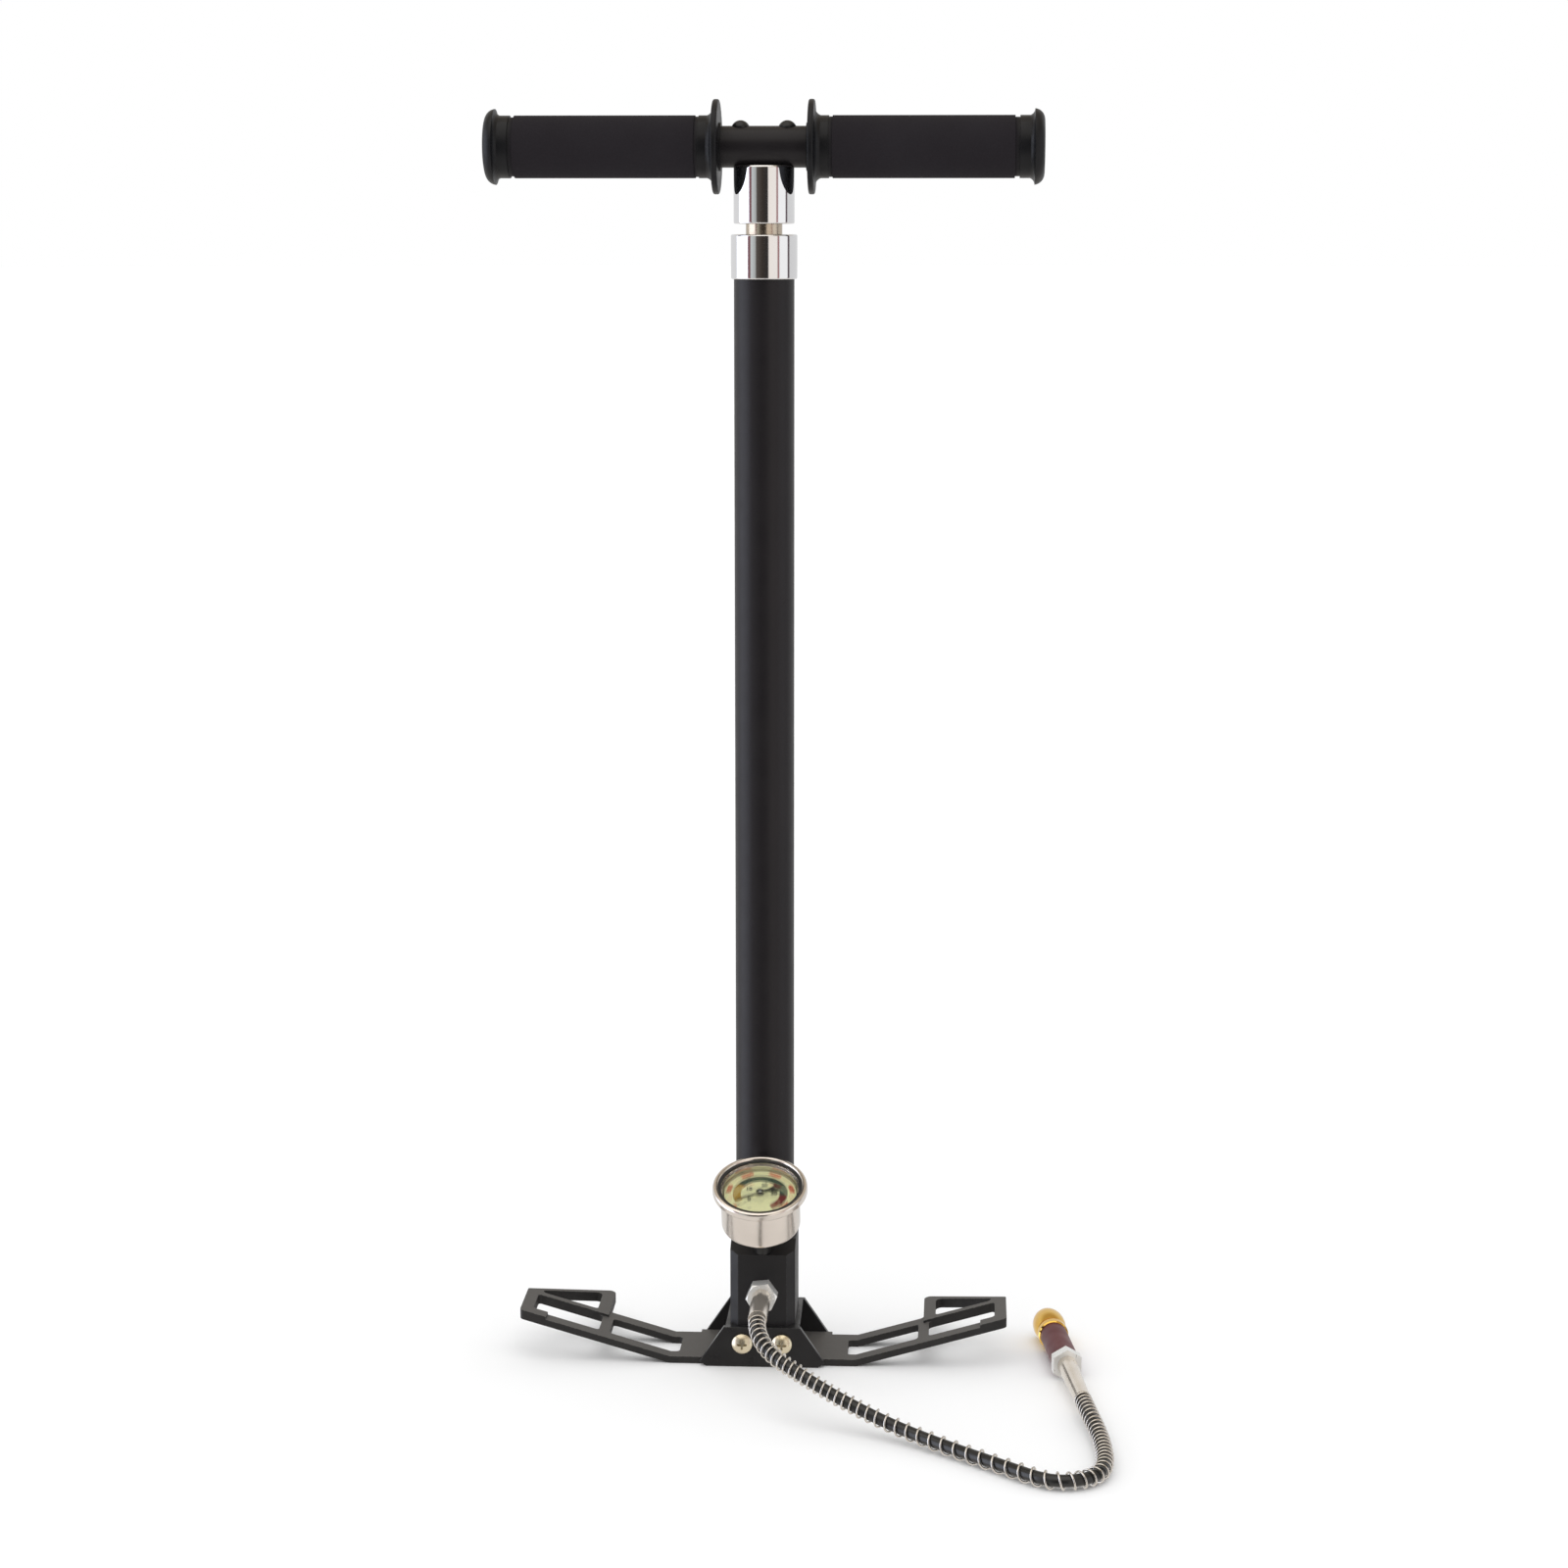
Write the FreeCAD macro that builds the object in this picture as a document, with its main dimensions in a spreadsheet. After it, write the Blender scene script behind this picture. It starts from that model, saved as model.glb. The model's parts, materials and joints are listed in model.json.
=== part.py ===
import FreeCAD, Part

import math
import os

from FreeCAD import Placement, Rotation, Vector

import Sketcher

# A three-stage high-pressure hand pump on two fold-out feet, with a pressure gauge and a
# spring-guarded hose that ends in a quick coupler. Millimetres, +Z up, floor at Z = 0, the
# gauge and the hose towards -Y. The origin is the middle of the pump's footprint, hose aside.
DOC = FreeCAD.newDocument("hand_pump")

# Driving dimensions. Heights are above the floor. Y values are measured from the barrel's
# axis, which stands at X = 0, Y = axis_y.
SIZES = {
    "axis_y": 11.917,
    # barrel
    "tube_radius": 15.0, "tube_bore": 12.9, "tube_foot": 52.0, "tube_top": 565.0,
    "cap_radius": 16.4, "cap_bottom": 553.3, "cap_top": 575.0, "cap_edge": 0.8,
    "bush_radius": 11.0, "bush_flange": 12.85, "bush_foot": 560.0, "bush_top": 571.0,
    "rod_clearance": 0.05, "wiper_top": 574.5,
    "tube_seal_mid": 13.9, "tube_seal_wire": 1.0,
    # rod, piston and the two inner stages
    "rod_radius": 9.0, "rod_bore": 6.8, "rod_foot": 57.0, "rod_top": 596.0,
    "piston_foot": 53.5, "piston_top": 68.0, "piston_radius": 12.75,
    "groove_foot": 58.0, "groove_height": 2.2, "groove_bottom": 10.9,
    "piston_ring_mid": 11.9, "piston_ring_wire": 0.95,
    "stage_tube_radius": 4.5, "stage_tube_bore": 2.2, "stage_tube_foot": 46.0,
    "stage_tube_top": 545.0, "stage_fit": 0.06,
    "stage_head_foot": 533.0, "stage_head_radius": 6.6, "stage_groove_foot": 538.0,
    "stage_groove_height": 1.7, "stage_groove_bottom": 5.15,
    "stage_ring_mid": 5.95, "stage_ring_wire": 0.75,
    "needle_radius": 1.6, "needle_foot": 80.0, "needle_top": 600.0, "needle_neck": 1.1,
    "needle_neck_foot": 83.0, "needle_neck_height": 2.0, "needle_ring_radius": 2.14,
    "needle_ring_gap": 0.05,
    "stop_top": 53.2, "stop_radius": 12.4, "stop_bore": 4.8,
    # handle
    "boss_radius": 15.0, "boss_foot": 580.2, "boss_top": 608.6, "boss_round": 1.3,
    "bar_height": 617.4, "bar_radius": 10.1, "bar_bore": 8.1, "bar_half": 134.0,
    "grip_inner": 20.9, "grip_bore": 10.1, "grip_bottom": 134.2, "grip_end": 137.3,
    "grip_hub": 11.7, "guard_inner": 22.0, "guard_outer": 25.0, "guard_radius": 23.0,
    "guard_round": 0.9, "flare_foot": 19.0, "flare_end": 27.9, "grip_radius": 15.2,
    "waist_radius": 14.6, "waist_inner": 31.9, "waist_outer": 33.8,
    "neck_radius": 14.3, "neck_inner": 122.9, "neck_outer": 125.3, "bulb_foot": 130.3,
    "bulb_radius": 18.4, "bulb_widest": 132.5, "bulb_end": 12.4,
    "grip_screw_x": 11.5, "grip_screw_seat": 626.6, "grip_screw_foot": 598.0,
    "grip_screw_radius": 2.0, "grip_screw_head": 4.3, "grip_screw_rim": 0.8,
    "grip_screw_crown": 3.6, "head_fit": 0.1,
    # base block
    "block_half": 16.7, "block_front": 25.3, "block_back": 17.5, "block_corner": 4.2,
    "block_foot": 21.1, "block_front_top": 59.0, "block_top": 64.1, "block_slope_y": 12.68,
    "socket_foot": 50.0, "chamber_radius": 3.2, "chamber_top": 44.0, "seat_radius": 1.5,
    "hose_height": 38.5, "port_radius": 5.0, "port_depth": 10.0, "passage_radius": 2.0,
    "bleed_seat_y": 8.0, "bleed_hole_radius": 2.06, "bleed_seat_radius": 1.0,
    "bleed_seal_pocket": 3.3, "bleed_seal_depth": 1.6,
    "valve_ball_radius": 2.2, "valve_plug_foot": 22.0, "valve_plug_top": 31.0,
    "valve_key": 1.5, "valve_key_depth": 4.0, "valve_spring_mid": 2.3,
    "valve_spring_wire": 0.3, "valve_spring_turns": 6.0,
    # hinge bracket, its screws and the hinge pins
    "ear_front": 28.3, "ear_back": 20.5, "web_foot": 18.1, "web_half": 18.9,
    "ear_top_half": 19.7,
    "ear_wide_half": 32.3, "ear_wide_height": 2.5, "ear_foot_half": 28.8,
    "hinge_x": 10.2, "hinge_height": 12.6, "pin_radius": 2.5, "pin_head_radius": 5.2,
    "pin_head_rim": 1.2, "pin_head_crown": 3.3, "pin_end": 26.0, "nut_flats": 8.0,
    "nut_height": 4.2, "recess_width": 1.1, "recess_span": 5.0, "recess_depth": 1.6,
    "fixing_radius": 2.0, "fixing_head": 3.8, "fixing_head_height": 2.5,
    "fixing_top": 29.0, "fixing_front_y": 12.0, "fixing_back_y": 10.0,
    # fold-out feet
    "foot_inner": 10.2, "foot_bend": 48.0, "foot_tip": 125.5, "foot_rise": 22.5,
    "foot_plate": 3.6, "foot_step": 1.4, "foot_front": 24.9, "foot_hinge_back": 17.1,
    "foot_back": 13.0, "foot_shoulder": 34.5, "foot_stock": 36.0, "foot_corner": 2.0,
    "slot_front": 17.0, "slot_back": 4.5, "slot_one_near": 43.5, "slot_one_far": 80.0,
    "slot_two_near": 85.5, "slot_two_far": 119.5, "loop_near": 82.6, "loop_bar": 88.8,
    "loop_far_x": 85.5, "loop_back": 41.0, "loop_hole_back": 34.6, "loop_hole_far": 121.5,
    "loop_hole_front": 9.0, "tip_back": 8.8, "step_end": 112.0,
    "knuckle_radius": 5.0, "knuckle_length": 9.0, "knuckle_bore": 2.56,
    # pressure gauge, along its own axis from the bottom of the case
    "gauge_tilt": 22.0, "gauge_y": 33.3, "gauge_z": 77.9, "stem_offset": 4.4,
    "case_radius": 20.0, "case_inner": 19.2, "case_floor": 1.0, "case_corner": 2.6,
    "case_neck": 19.6, "rim_radius": 24.0, "rim_foot": 21.4, "rim_side": 24.6,
    "rim_top": 26.0, "rim_crest": 22.4, "rim_inner": 21.2, "rim_bottom": 23.9,
    "lens_seat": 22.4, "lens_radius": 20.3, "lens_pocket": 20.4,
    "gasket_inner": 19.9, "gasket_outer": 21.15, "gasket_foot": 23.95, "gasket_top": 25.0,
    "dial_radius": 19.0, "dial_foot": 18.9, "dial_top": 19.7, "dial_hole": 0.85,
    "stem_radius": 3.3, "stem_end": 28.4, "stem_neck_radius": 4.4, "stem_neck_foot": 20.1,
    "stem_port_start": 17.8, "stem_hex_foot": 11.7, "stem_hex_top": 1.0, "stem_flats": 11.0,
    "stem_nut_radius": 7.0, "stem_nut_top": 3.0, "movement_length": 13.0, "movement_width": 9.0,
    "movement_top": 16.8, "spindle_radius": 0.7, "spindle_foot": 13.0, "spindle_top": 21.4,
    "spindle_end_gap": 0.2,
    "bourdon_mid": 14.0, "bourdon_tube": 1.7, "bourdon_height": 8.0, "bourdon_sweep": 250.0,
    "pointer_foot": 20.4, "pointer_thick": 0.5, "pointer_tip": 13.5, "pointer_root": 1.3,
    "pointer_tail": 9.6, "pointer_tail_half": 2.6, "pointer_hub": 2.0,
    "pointer_hub_top": 21.5, "pointer_zero": 206.0,
    # bleed screw, along +Y from the back of the block
    "bleed_pin_radius": 2.0, "bleed_pin_foot": 9.4, "bleed_pin_top": 8.0,
    "bleed_cone": 1.2, "knob_radius": 7.0, "knob_foot": 1.2, "knob_top": 11.0,
    "knob_collar": 4.6, "knob_collar_top": 2.4, "knob_bore": 2.02, "knob_bottom": 8.1,
    "knob_edge": 0.9, "bleed_seal_mid": 2.64, "bleed_seal_wire": 0.6,
    # hose fitting and its ferrule, along -Y from the front of the block
    "fitting_flats": 14.2, "fitting_hex": 8.0, "fitting_turn": 6.0, "fitting_bore": 1.5,
    "fitting_edge": 1.0, "ferrule_root": 5.1, "ferrule_base_end": 4.75,
    "ferrule_base_length": 32.0, "ferrule_core": 1.6,
    "hose_radius": 3.0, "guard_bore": 3.7, "guard_wire_radius": 4.5,
    # quick coupler, along its own axis from the hose end of its ferrule
    "coupler_x": 162.4, "coupler_y": 87.3, "coupler_z": 8.45, "coupler_turn": 7.4,
    "ferrule_end_length": 47.0, "ferrule_tip": 4.05, "coupler_hex_end": 53.5,
    "coupler_flats": 14.4, "core_foot": 50.0, "core_radius": 5.5, "core_bore_foot": 78.0,
    "probe_bore": 4.05, "core_end": 113.0, "core_passage": 1.5,
    "sleeve_radius": 7.0, "sleeve_end": 92.0, "sleeve_edge": 0.4,
    "collar_end": 114.5, "collar_ring": 7.8, "collar_ring_end": 96.5,
    "collar_groove": 6.4, "collar_groove_end": 98.8, "collar_grip": 8.4,
    "collar_rounding": 1.1, "collar_rounded": 7.5, "collar_bulge": 0.08, "collar_gap": 0.1,
    "collar_edge": 0.6, "collar_bore": 5.56, "collar_chamber": 6.9, "collar_shoulder": 101.0,
    "clip_foot": 109.0, "clip_top": 110.4, "clip_radius": 6.8,
    "ring_spring_mid": 6.25, "ring_spring_wire": 0.35, "ring_spring_foot": 104.3,
    "ring_spring_turns": 3.0,
    "lock_ball_radius": 0.7, "ball_fit": 0.05, "lock_ball_mid": 4.77, "lock_ball_place": 99.9,
    "probe_seal_mid": 4.55, "probe_seal_wire": 0.5, "probe_seal_place": 86.0,
}
LOCK_BALLS = 3

# The hose's route: X, Y (from the barrel's axis) and height of each point. It leaves the
# ferrule straight, drops to the floor, turns back on itself and rises into the coupler.
HOSE_ROUTE = [
    (0.0, -65.3, 38.5),
    (0.3, -81.5, 38.3),
    (8.0, -99.5, 33.0),
    (25.5, -109.0, 25.0),
    (45.0, -116.0, 15.8),
    (70.0, -127.0, 7.6),
    (95.0, -144.0, 4.65),
    (123.5, -168.0, 4.6),
    (140.7, -182.9, 4.6),
    (152.2, -184.8, 4.6),
    (162.8, -180.0, 4.6),
    (169.4, -170.4, 4.6),
    (171.0, -151.0, 4.6),
    (169.2, -126.0, 5.4),
    (164.5, -103.6, 8.45),
    (162.4, -87.3, 8.45),
]


class Dim:
    """A length with its number and the sheet expression that gives it."""

    def __init__(self, number, text=None):
        self.number = float(number)
        self.text = text or repr(float(number))

    def combined(self, sign, other, number):
        return Dim(number, "(%s %s %s)" % (self.text, sign, other.text))

    def __add__(self, other):
        other = as_dim(other)
        return self.combined("+", other, self.number + other.number)

    def __sub__(self, other):
        other = as_dim(other)
        return self.combined("-", other, self.number - other.number)

    def __mul__(self, other):
        other = as_dim(other)
        return self.combined("*", other, self.number * other.number)

    def __truediv__(self, other):
        other = as_dim(other)
        return self.combined("/", other, self.number / other.number)

    def __neg__(self):
        return Dim(0.0) - self


def as_dim(value):
    return value if isinstance(value, Dim) else Dim(value)


def size(alias):
    """A driving dimension of the sheet."""
    return Dim(SIZES[alias], "sizes." + alias)


def sizes(*aliases):
    return [size(alias) for alias in aliases]


def make_sheet():
    """Writes the driving dimensions into the document's spreadsheet."""
    sheet = DOC.addObject("Spreadsheet::Sheet", "sizes")
    for row, (alias, number) in enumerate(SIZES.items(), start=1):
        cell = "B%d" % row
        sheet.set("A%d" % row, alias)
        sheet.set(cell, str(number))
        sheet.setAlias(cell, alias)
    DOC.recompute()


def bind(item, name, dim):
    """Sets a property and ties it to the sheet."""
    dim = as_dim(dim)
    setattr(item, name, dim.number)
    item.setExpression(name, dim.text)


def put(item, x=0, y=0, z=0, rotation=None):
    """Places an item by X, Y from the barrel's axis, and height."""
    spot = {"x": as_dim(x), "y": as_dim(y) + size("axis_y"), "z": as_dim(z)}
    base = Vector(spot["x"].number, spot["y"].number, spot["z"].number)
    item.Placement = Placement(base, rotation or Rotation())
    for axis, dim in spot.items():
        item.setExpression("Placement.Base." + axis, dim.text)
    return item


# Rotations that turn a piece's own +Z axis towards another direction.
TO_FRONT = Rotation(Vector(1, 0, 0), 90)
TO_BACK = Rotation(Vector(1, 0, 0), -90)
TO_RIGHT = Rotation(Vector(0, 1, 0), 90)
TO_LEFT = Rotation(Vector(0, 1, 0), -90)
GAUGE_TURN = Rotation(Vector(1, 0, 0), SIZES["gauge_tilt"])
COUPLER_TURN = Rotation(Vector(0, 0, 1), SIZES["coupler_turn"]) * TO_BACK


def put_on_gauge(item):
    return put(item, 0, -size("gauge_y"), size("gauge_z"), GAUGE_TURN)


def put_on_stem(item):
    """The stem stands off the gauge's own axis, towards the barrel."""
    along = GAUGE_TURN.multVec(Vector(0, 1, 0))
    y = size("stem_offset") * along.y - size("gauge_y")
    return put(item, 0, y, size("stem_offset") * along.z + size("gauge_z"), GAUGE_TURN)


def put_on_coupler(item):
    x, y, z = sizes("coupler_x", "coupler_y", "coupler_z")
    return put(item, x, -y, z, COUPLER_TURN)


# --- sketches and features ------------------------------------------------------------

def origin_plane(body, role):
    return next(item for item in body.Origin.OriginFeatures if item.Role == role)


def add_side(sketch, start, end, bulge):
    """Adds one side of an outline; a bulge bends it into an arc, outwards if positive.

    Returns the side's index and the point numbers of its start and end.
    """
    first = Vector(start[0].number, start[1].number, 0)
    last = Vector(end[0].number, end[1].number, 0)
    if not bulge:
        return sketch.addGeometry(Part.LineSegment(first, last)), 1, 2
    chord = last - first
    middle = (first + last) / 2 + Vector(chord.y, -chord.x, 0) * (bulge / 2)
    arc = Part.Arc(first, middle, last).toShape()
    if arc.Curve.Axis.z < 0:
        arc = Part.Arc(last, middle, first).toShape()
    index = sketch.addGeometry(Part.ArcOfCircle(arc.Curve, *arc.ParameterRange))
    begins = (sketch.getPoint(index, 1) - first).Length < 1e-6
    factor = (1 + bulge * bulge) / (4 * abs(bulge))
    across = end[0] - start[0]
    along = end[1] - start[1]
    text = "(sqrt(%s ^ 2 + %s ^ 2) * %r)" % (across.text, along.text, factor)
    radius = Dim(arc.Curve.Radius, text)
    number = sketch.addConstraint(Sketcher.Constraint("Radius", index, radius.number))
    sketch.setExpression("Constraints[%d]" % number, radius.text)
    return (index, 1, 2) if begins else (index, 2, 1)


def pin_point(sketch, index, point, spot):
    """Ties one point of a sketch to the sheet."""
    for kind, dim in (("DistanceX", spot[0]), ("DistanceY", spot[1])):
        rule = Sketcher.Constraint(kind, -1, 1, index, point, dim.number)
        number = sketch.addConstraint(rule)
        sketch.setExpression("Constraints[%d]" % number, dim.text)


def draw_outline(sketch, outline):
    """Draws a closed outline of (x, y) or (x, y, bulge to the next point) corners."""
    corners = [(as_dim(c[0]), as_dim(c[1]), c[2] if len(c) > 2 else 0) for c in outline]
    sides = []
    for corner, following in zip(corners, corners[1:] + corners[:1]):
        sides.append(add_side(sketch, corner, following, corner[2]))
    for number, side in enumerate(sides):
        before = sides[number - 1]
        join = Sketcher.Constraint("Coincident", before[0], before[2], side[0], side[1])
        sketch.addConstraint(join)
        pin_point(sketch, side[0], side[1], corners[number])


def draw_circle(sketch, x, y, radius):
    x, y, radius = as_dim(x), as_dim(y), as_dim(radius)
    circle = Part.Circle(Vector(x.number, y.number, 0), Vector(0, 0, 1), radius.number)
    index = sketch.addGeometry(circle)
    pin_point(sketch, index, 3, (x, y))
    number = sketch.addConstraint(Sketcher.Constraint("Radius", index, radius.number))
    sketch.setExpression("Constraints[%d]" % number, radius.text)


def draw(body, role, outlines=(), circles=(), offset=None):
    """A sketch on one of the body's own origin planes, or parallel to it."""
    sketch = body.newObject("Sketcher::SketchObject", body.Label + "_sketch")
    sketch.AttachmentSupport = [(origin_plane(body, role), "")]
    sketch.MapMode = "FlatFace"
    if offset is not None:
        offset = as_dim(offset)
        sketch.AttachmentOffset = Placement(Vector(0, 0, offset.number), Rotation())
        sketch.setExpression("AttachmentOffset.Base.z", offset.text)
    for outline in outlines:
        draw_outline(sketch, outline)
    for circle in circles:
        draw_circle(sketch, *circle)
    DOC.recompute()
    return sketch


def new_body(label):
    body = DOC.addObject("PartDesign::Body", label)
    body.Label = label
    return body


def finish_feature(body, feature):
    body.Tip = feature
    DOC.recompute()
    return feature


def pad(body, sketch, length, backwards=False):
    feature = body.newObject("PartDesign::Pad", body.Label + "_pad")
    feature.Profile = sketch
    bind(feature, "Length", length)
    feature.Reversed = backwards
    return finish_feature(body, feature)


def pocket(body, sketch, length, both_ways=False, backwards=False):
    """Cuts a pocket, and stops if it cut nothing."""
    before = body.Tip.Shape.Volume
    feature = body.newObject("PartDesign::Pocket", body.Label + "_pocket")
    feature.Profile = sketch
    bind(feature, "Length", length)
    feature.Midplane = both_ways
    feature.Reversed = backwards
    finish_feature(body, feature)
    if feature.Shape.Volume > before - 1e-3:
        raise RuntimeError("a pocket of %s cuts nothing" % body.Label)
    return feature


def soften(body, kind, amount, chosen):
    """A fillet or chamfer on the edges of the body's tip that chosen(edge) accepts."""
    base = body.Tip
    names = ["Edge%d" % n for n, edge in enumerate(base.Shape.Edges, 1) if chosen(edge)]
    if not names:
        raise RuntimeError("no edge of %s fits the %s" % (body.Label, kind))
    feature = body.newObject("PartDesign::" + kind, body.Label + "_" + kind.lower())
    feature.Base = (base, names)
    bind(feature, "Radius" if kind == "Fillet" else "Size", amount)
    return finish_feature(body, feature)


def ring(radius, height):
    """Accepts the round edge of a turned piece that has this radius and height."""
    radius, height = as_dim(radius).number, as_dim(height).number

    def accepts(edge):
        curve = edge.Curve
        if not isinstance(curve, Part.Circle):
            return False
        return abs(curve.Radius - radius) < 0.01 and abs(curve.Center.z - height) < 0.01

    return accepts


def any_of(*rules):
    return lambda edge: any(rule(edge) for rule in rules)


def turned(label, outline):
    """A round piece: (radius, height) corners turned about its own axis."""
    body = new_body(label)
    sketch = draw(body, "XZ_Plane", [outline])
    feature = body.newObject("PartDesign::Revolution", label + "_turn")
    feature.Profile = sketch
    feature.ReferenceAxis = (sketch, ["V_Axis"])
    feature.Angle = 360
    finish_feature(body, feature)
    return body


def dome(radius, height):
    """The bulge of an arc that rises from a rim to a level crown on the axis."""
    return math.tan(math.atan2(height.number, radius.number) / 2)


def pipe(label, outer, inner, foot, top):
    return turned(label, [(inner, foot), (outer, foot), (outer, top), (inner, top)])


def hexagon(flats, turn=0.0):
    """The six corners of a hexagon across the given flats, one corner at the turn angle."""
    reach = as_dim(flats) / math.sqrt(3)
    angles = [math.radians(turn + 60 * step) for step in range(6)]
    return [(reach * math.cos(angle), reach * math.sin(angle)) for angle in angles]


def hex_piece(label, flats, foot, top, bore, turn=0.0, edge=None):
    """A hexagonal prism with a bore; its outer corners are turned off at an angle."""
    body = new_body(label)
    sketch = draw(body, "XY_Plane", [hexagon(flats, turn)], [(0, 0, bore)], foot)
    pad(body, sketch, as_dim(top) - foot)
    if edge is not None:
        reach = as_dim(flats) / math.sqrt(3) + 1
        flat = as_dim(flats) / 2
        slope = reach - flat
        top = as_dim(top)
        groove = draw(body, "XZ_Plane", [[
            (flat, top), (reach, top - slope * edge), (reach, top + 1), (flat, top + 1)]])
        feature = body.newObject("PartDesign::Groove", label + "_groove")
        feature.Profile = groove
        feature.ReferenceAxis = (groove, ["V_Axis"])
        feature.Angle = 360
        finish_feature(body, feature)
    return body


# --- primitives and booleans ----------------------------------------------------------

def cylinder(label, radius, height):
    item = DOC.addObject("Part::Cylinder", label)
    item.Label = label
    bind(item, "Radius", radius)
    bind(item, "Height", height)
    return item


def box(label, length, width, height):
    item = DOC.addObject("Part::Box", label)
    item.Label = label
    bind(item, "Length", length)
    bind(item, "Width", width)
    bind(item, "Height", height)
    return item


def o_ring(label, middle, wire):
    item = DOC.addObject("Part::Torus", label)
    item.Label = label
    bind(item, "Radius1", middle)
    bind(item, "Radius2", wire)
    return item


def fused(label, items):
    item = DOC.addObject("Part::MultiFuse", label)
    item.Label = label
    item.Shapes = items
    return item


def cut(label, base, tools):
    """The base less every tool."""
    item = DOC.addObject("Part::Cut", label)
    item.Label = label
    item.Base = base
    item.Tool = tools[0] if len(tools) == 1 else fused(label + "_tools", tools)
    DOC.recompute()
    return item


def group(label, items):
    """Separate solids that share one node."""
    item = DOC.addObject("Part::Compound", label)
    item.Label = label
    item.Links = items
    DOC.recompute()
    return item


def mirrored(label, source):
    """The piece's mirror image across the plane X = 0."""
    item = DOC.addObject("Part::Mirroring", label)
    item.Label = label
    item.Source = source
    item.Normal = Vector(1, 0, 0)
    DOC.recompute()
    return item


def from_shape(label, shape):
    """A piece whose shape is made with Part's own functions."""
    item = DOC.addObject("Part::Feature", label)
    item.Label = label
    item.Shape = shape
    return item


# --- barrel ---------------------------------------------------------------------------

def make_outer_tube():
    tube = pipe("outer_tube", *sizes("tube_radius", "tube_bore", "tube_foot", "tube_top"))
    return put(tube)


def make_cylinder_cap():
    """The chromed head: a skirt over the tube and a bored top that holds the rod's bush."""
    radius, foot, top, skirt, shelf, bore = sizes(
        "cap_radius", "cap_bottom", "cap_top", "tube_radius", "tube_top", "bush_radius")
    cap = turned("cylinder_cap", [
        (skirt, foot), (radius, foot), (radius, top), (bore, top), (bore, shelf), (skirt, shelf)])
    soften(cap, "Fillet", size("cap_edge"), any_of(ring(radius, foot), ring(radius, top)))
    return put(cap)


def make_rod_bush():
    flange, radius, foot, shelf, top = sizes(
        "bush_flange", "bush_radius", "bush_foot", "tube_top", "bush_top")
    bore = size("rod_radius") + size("rod_clearance")
    return put(turned("rod_bush", [
        (bore, foot), (flange, foot), (flange, shelf), (radius, shelf), (radius, top), (bore, top)]))


def make_wiper_seal():
    bore = size("rod_radius") + size("rod_clearance")
    foot, top, radius = sizes("bush_top", "wiper_top", "bush_radius")
    lip = (top - foot) / 2
    return put(turned("wiper_seal", [
        (bore, foot), (radius, foot), (radius, top), (bore + lip / 2, top), (bore, foot + lip)]))


def make_tube_seal():
    seal = o_ring("tube_seal", *sizes("tube_seal_mid", "tube_seal_wire"))
    return put(seal, 0, 0, size("socket_foot") + size("tube_seal_wire"))


# --- rod, piston and inner stages -----------------------------------------------------

def make_piston_head():
    """The first-stage piston, screwed to the rod, with a groove for its ring."""
    foot, top, radius, rod_foot, rod = sizes(
        "piston_foot", "piston_top", "piston_radius", "rod_foot", "rod_radius")
    groove_foot, groove_height, groove = sizes("groove_foot", "groove_height", "groove_bottom")
    groove_top = groove_foot + groove_height
    bore = size("stage_tube_radius") + size("stage_fit")
    rod = rod + size("rod_clearance")
    return put(turned("piston_head", [
        (bore, foot), (radius, foot), (radius, groove_foot), (groove, groove_foot),
        (groove, groove_top), (radius, groove_top), (radius, top), (rod, top),
        (rod, rod_foot), (bore, rod_foot)]))


def make_piston_ring():
    seal = o_ring("piston_ring", *sizes("piston_ring_mid", "piston_ring_wire"))
    return put(seal, 0, 0, size("groove_foot") + size("groove_height") / 2)


def make_piston_rod():
    return put(pipe("piston_rod", *sizes("rod_radius", "rod_bore", "rod_foot", "rod_top")))


def make_inner_tube():
    """The fixed tube inside the rod: its outside is the second stage, its bore the third."""
    return put(pipe("inner_tube", *sizes(
        "stage_tube_radius", "stage_tube_bore", "stage_tube_foot", "stage_tube_top")))


def make_inner_head():
    foot, top, radius, bore = sizes(
        "stage_head_foot", "stage_tube_top", "stage_head_radius", "stage_tube_radius")
    groove_foot, groove_height, groove = sizes(
        "stage_groove_foot", "stage_groove_height", "stage_groove_bottom")
    groove_top = groove_foot + groove_height
    return put(turned("inner_head", [
        (bore, foot), (radius, foot), (radius, groove_foot), (groove, groove_foot),
        (groove, groove_top), (radius, groove_top), (radius, top), (bore, top)]))


def make_inner_ring():
    seal = o_ring("inner_ring", *sizes("stage_ring_mid", "stage_ring_wire"))
    return put(seal, 0, 0, size("stage_groove_foot") + size("stage_groove_height") / 2)


def make_third_stage_rod():
    radius, foot, top, neck, neck_foot, neck_height = sizes(
        "needle_radius", "needle_foot", "needle_top", "needle_neck", "needle_neck_foot",
        "needle_neck_height")
    neck_top = neck_foot + neck_height
    return put(turned("third_stage_rod", [
        (0, foot), (radius, foot), (radius, neck_foot), (neck, neck_foot),
        (neck, neck_top), (radius, neck_top), (radius, top), (0, top)]))


def make_third_stage_ring():
    gap = size("needle_ring_gap")
    foot = size("needle_neck_foot") + gap
    top = size("needle_neck_foot") + size("needle_neck_height") - gap
    return put(pipe(
        "third_stage_ring", size("needle_ring_radius"), size("needle_neck") + gap, foot, top))


def make_bump_stop():
    return put(pipe("bump_stop", *sizes("stop_radius", "stop_bore", "socket_foot", "stop_top")))


# --- handle ---------------------------------------------------------------------------

def bar_hole(label, radius, length):
    """A cylinder along the crossbar's axis, centred on the rod."""
    item = cylinder(label, radius, length)
    return put(item, -as_dim(length) / 2, 0, size("bar_height"), TO_RIGHT)


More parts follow.
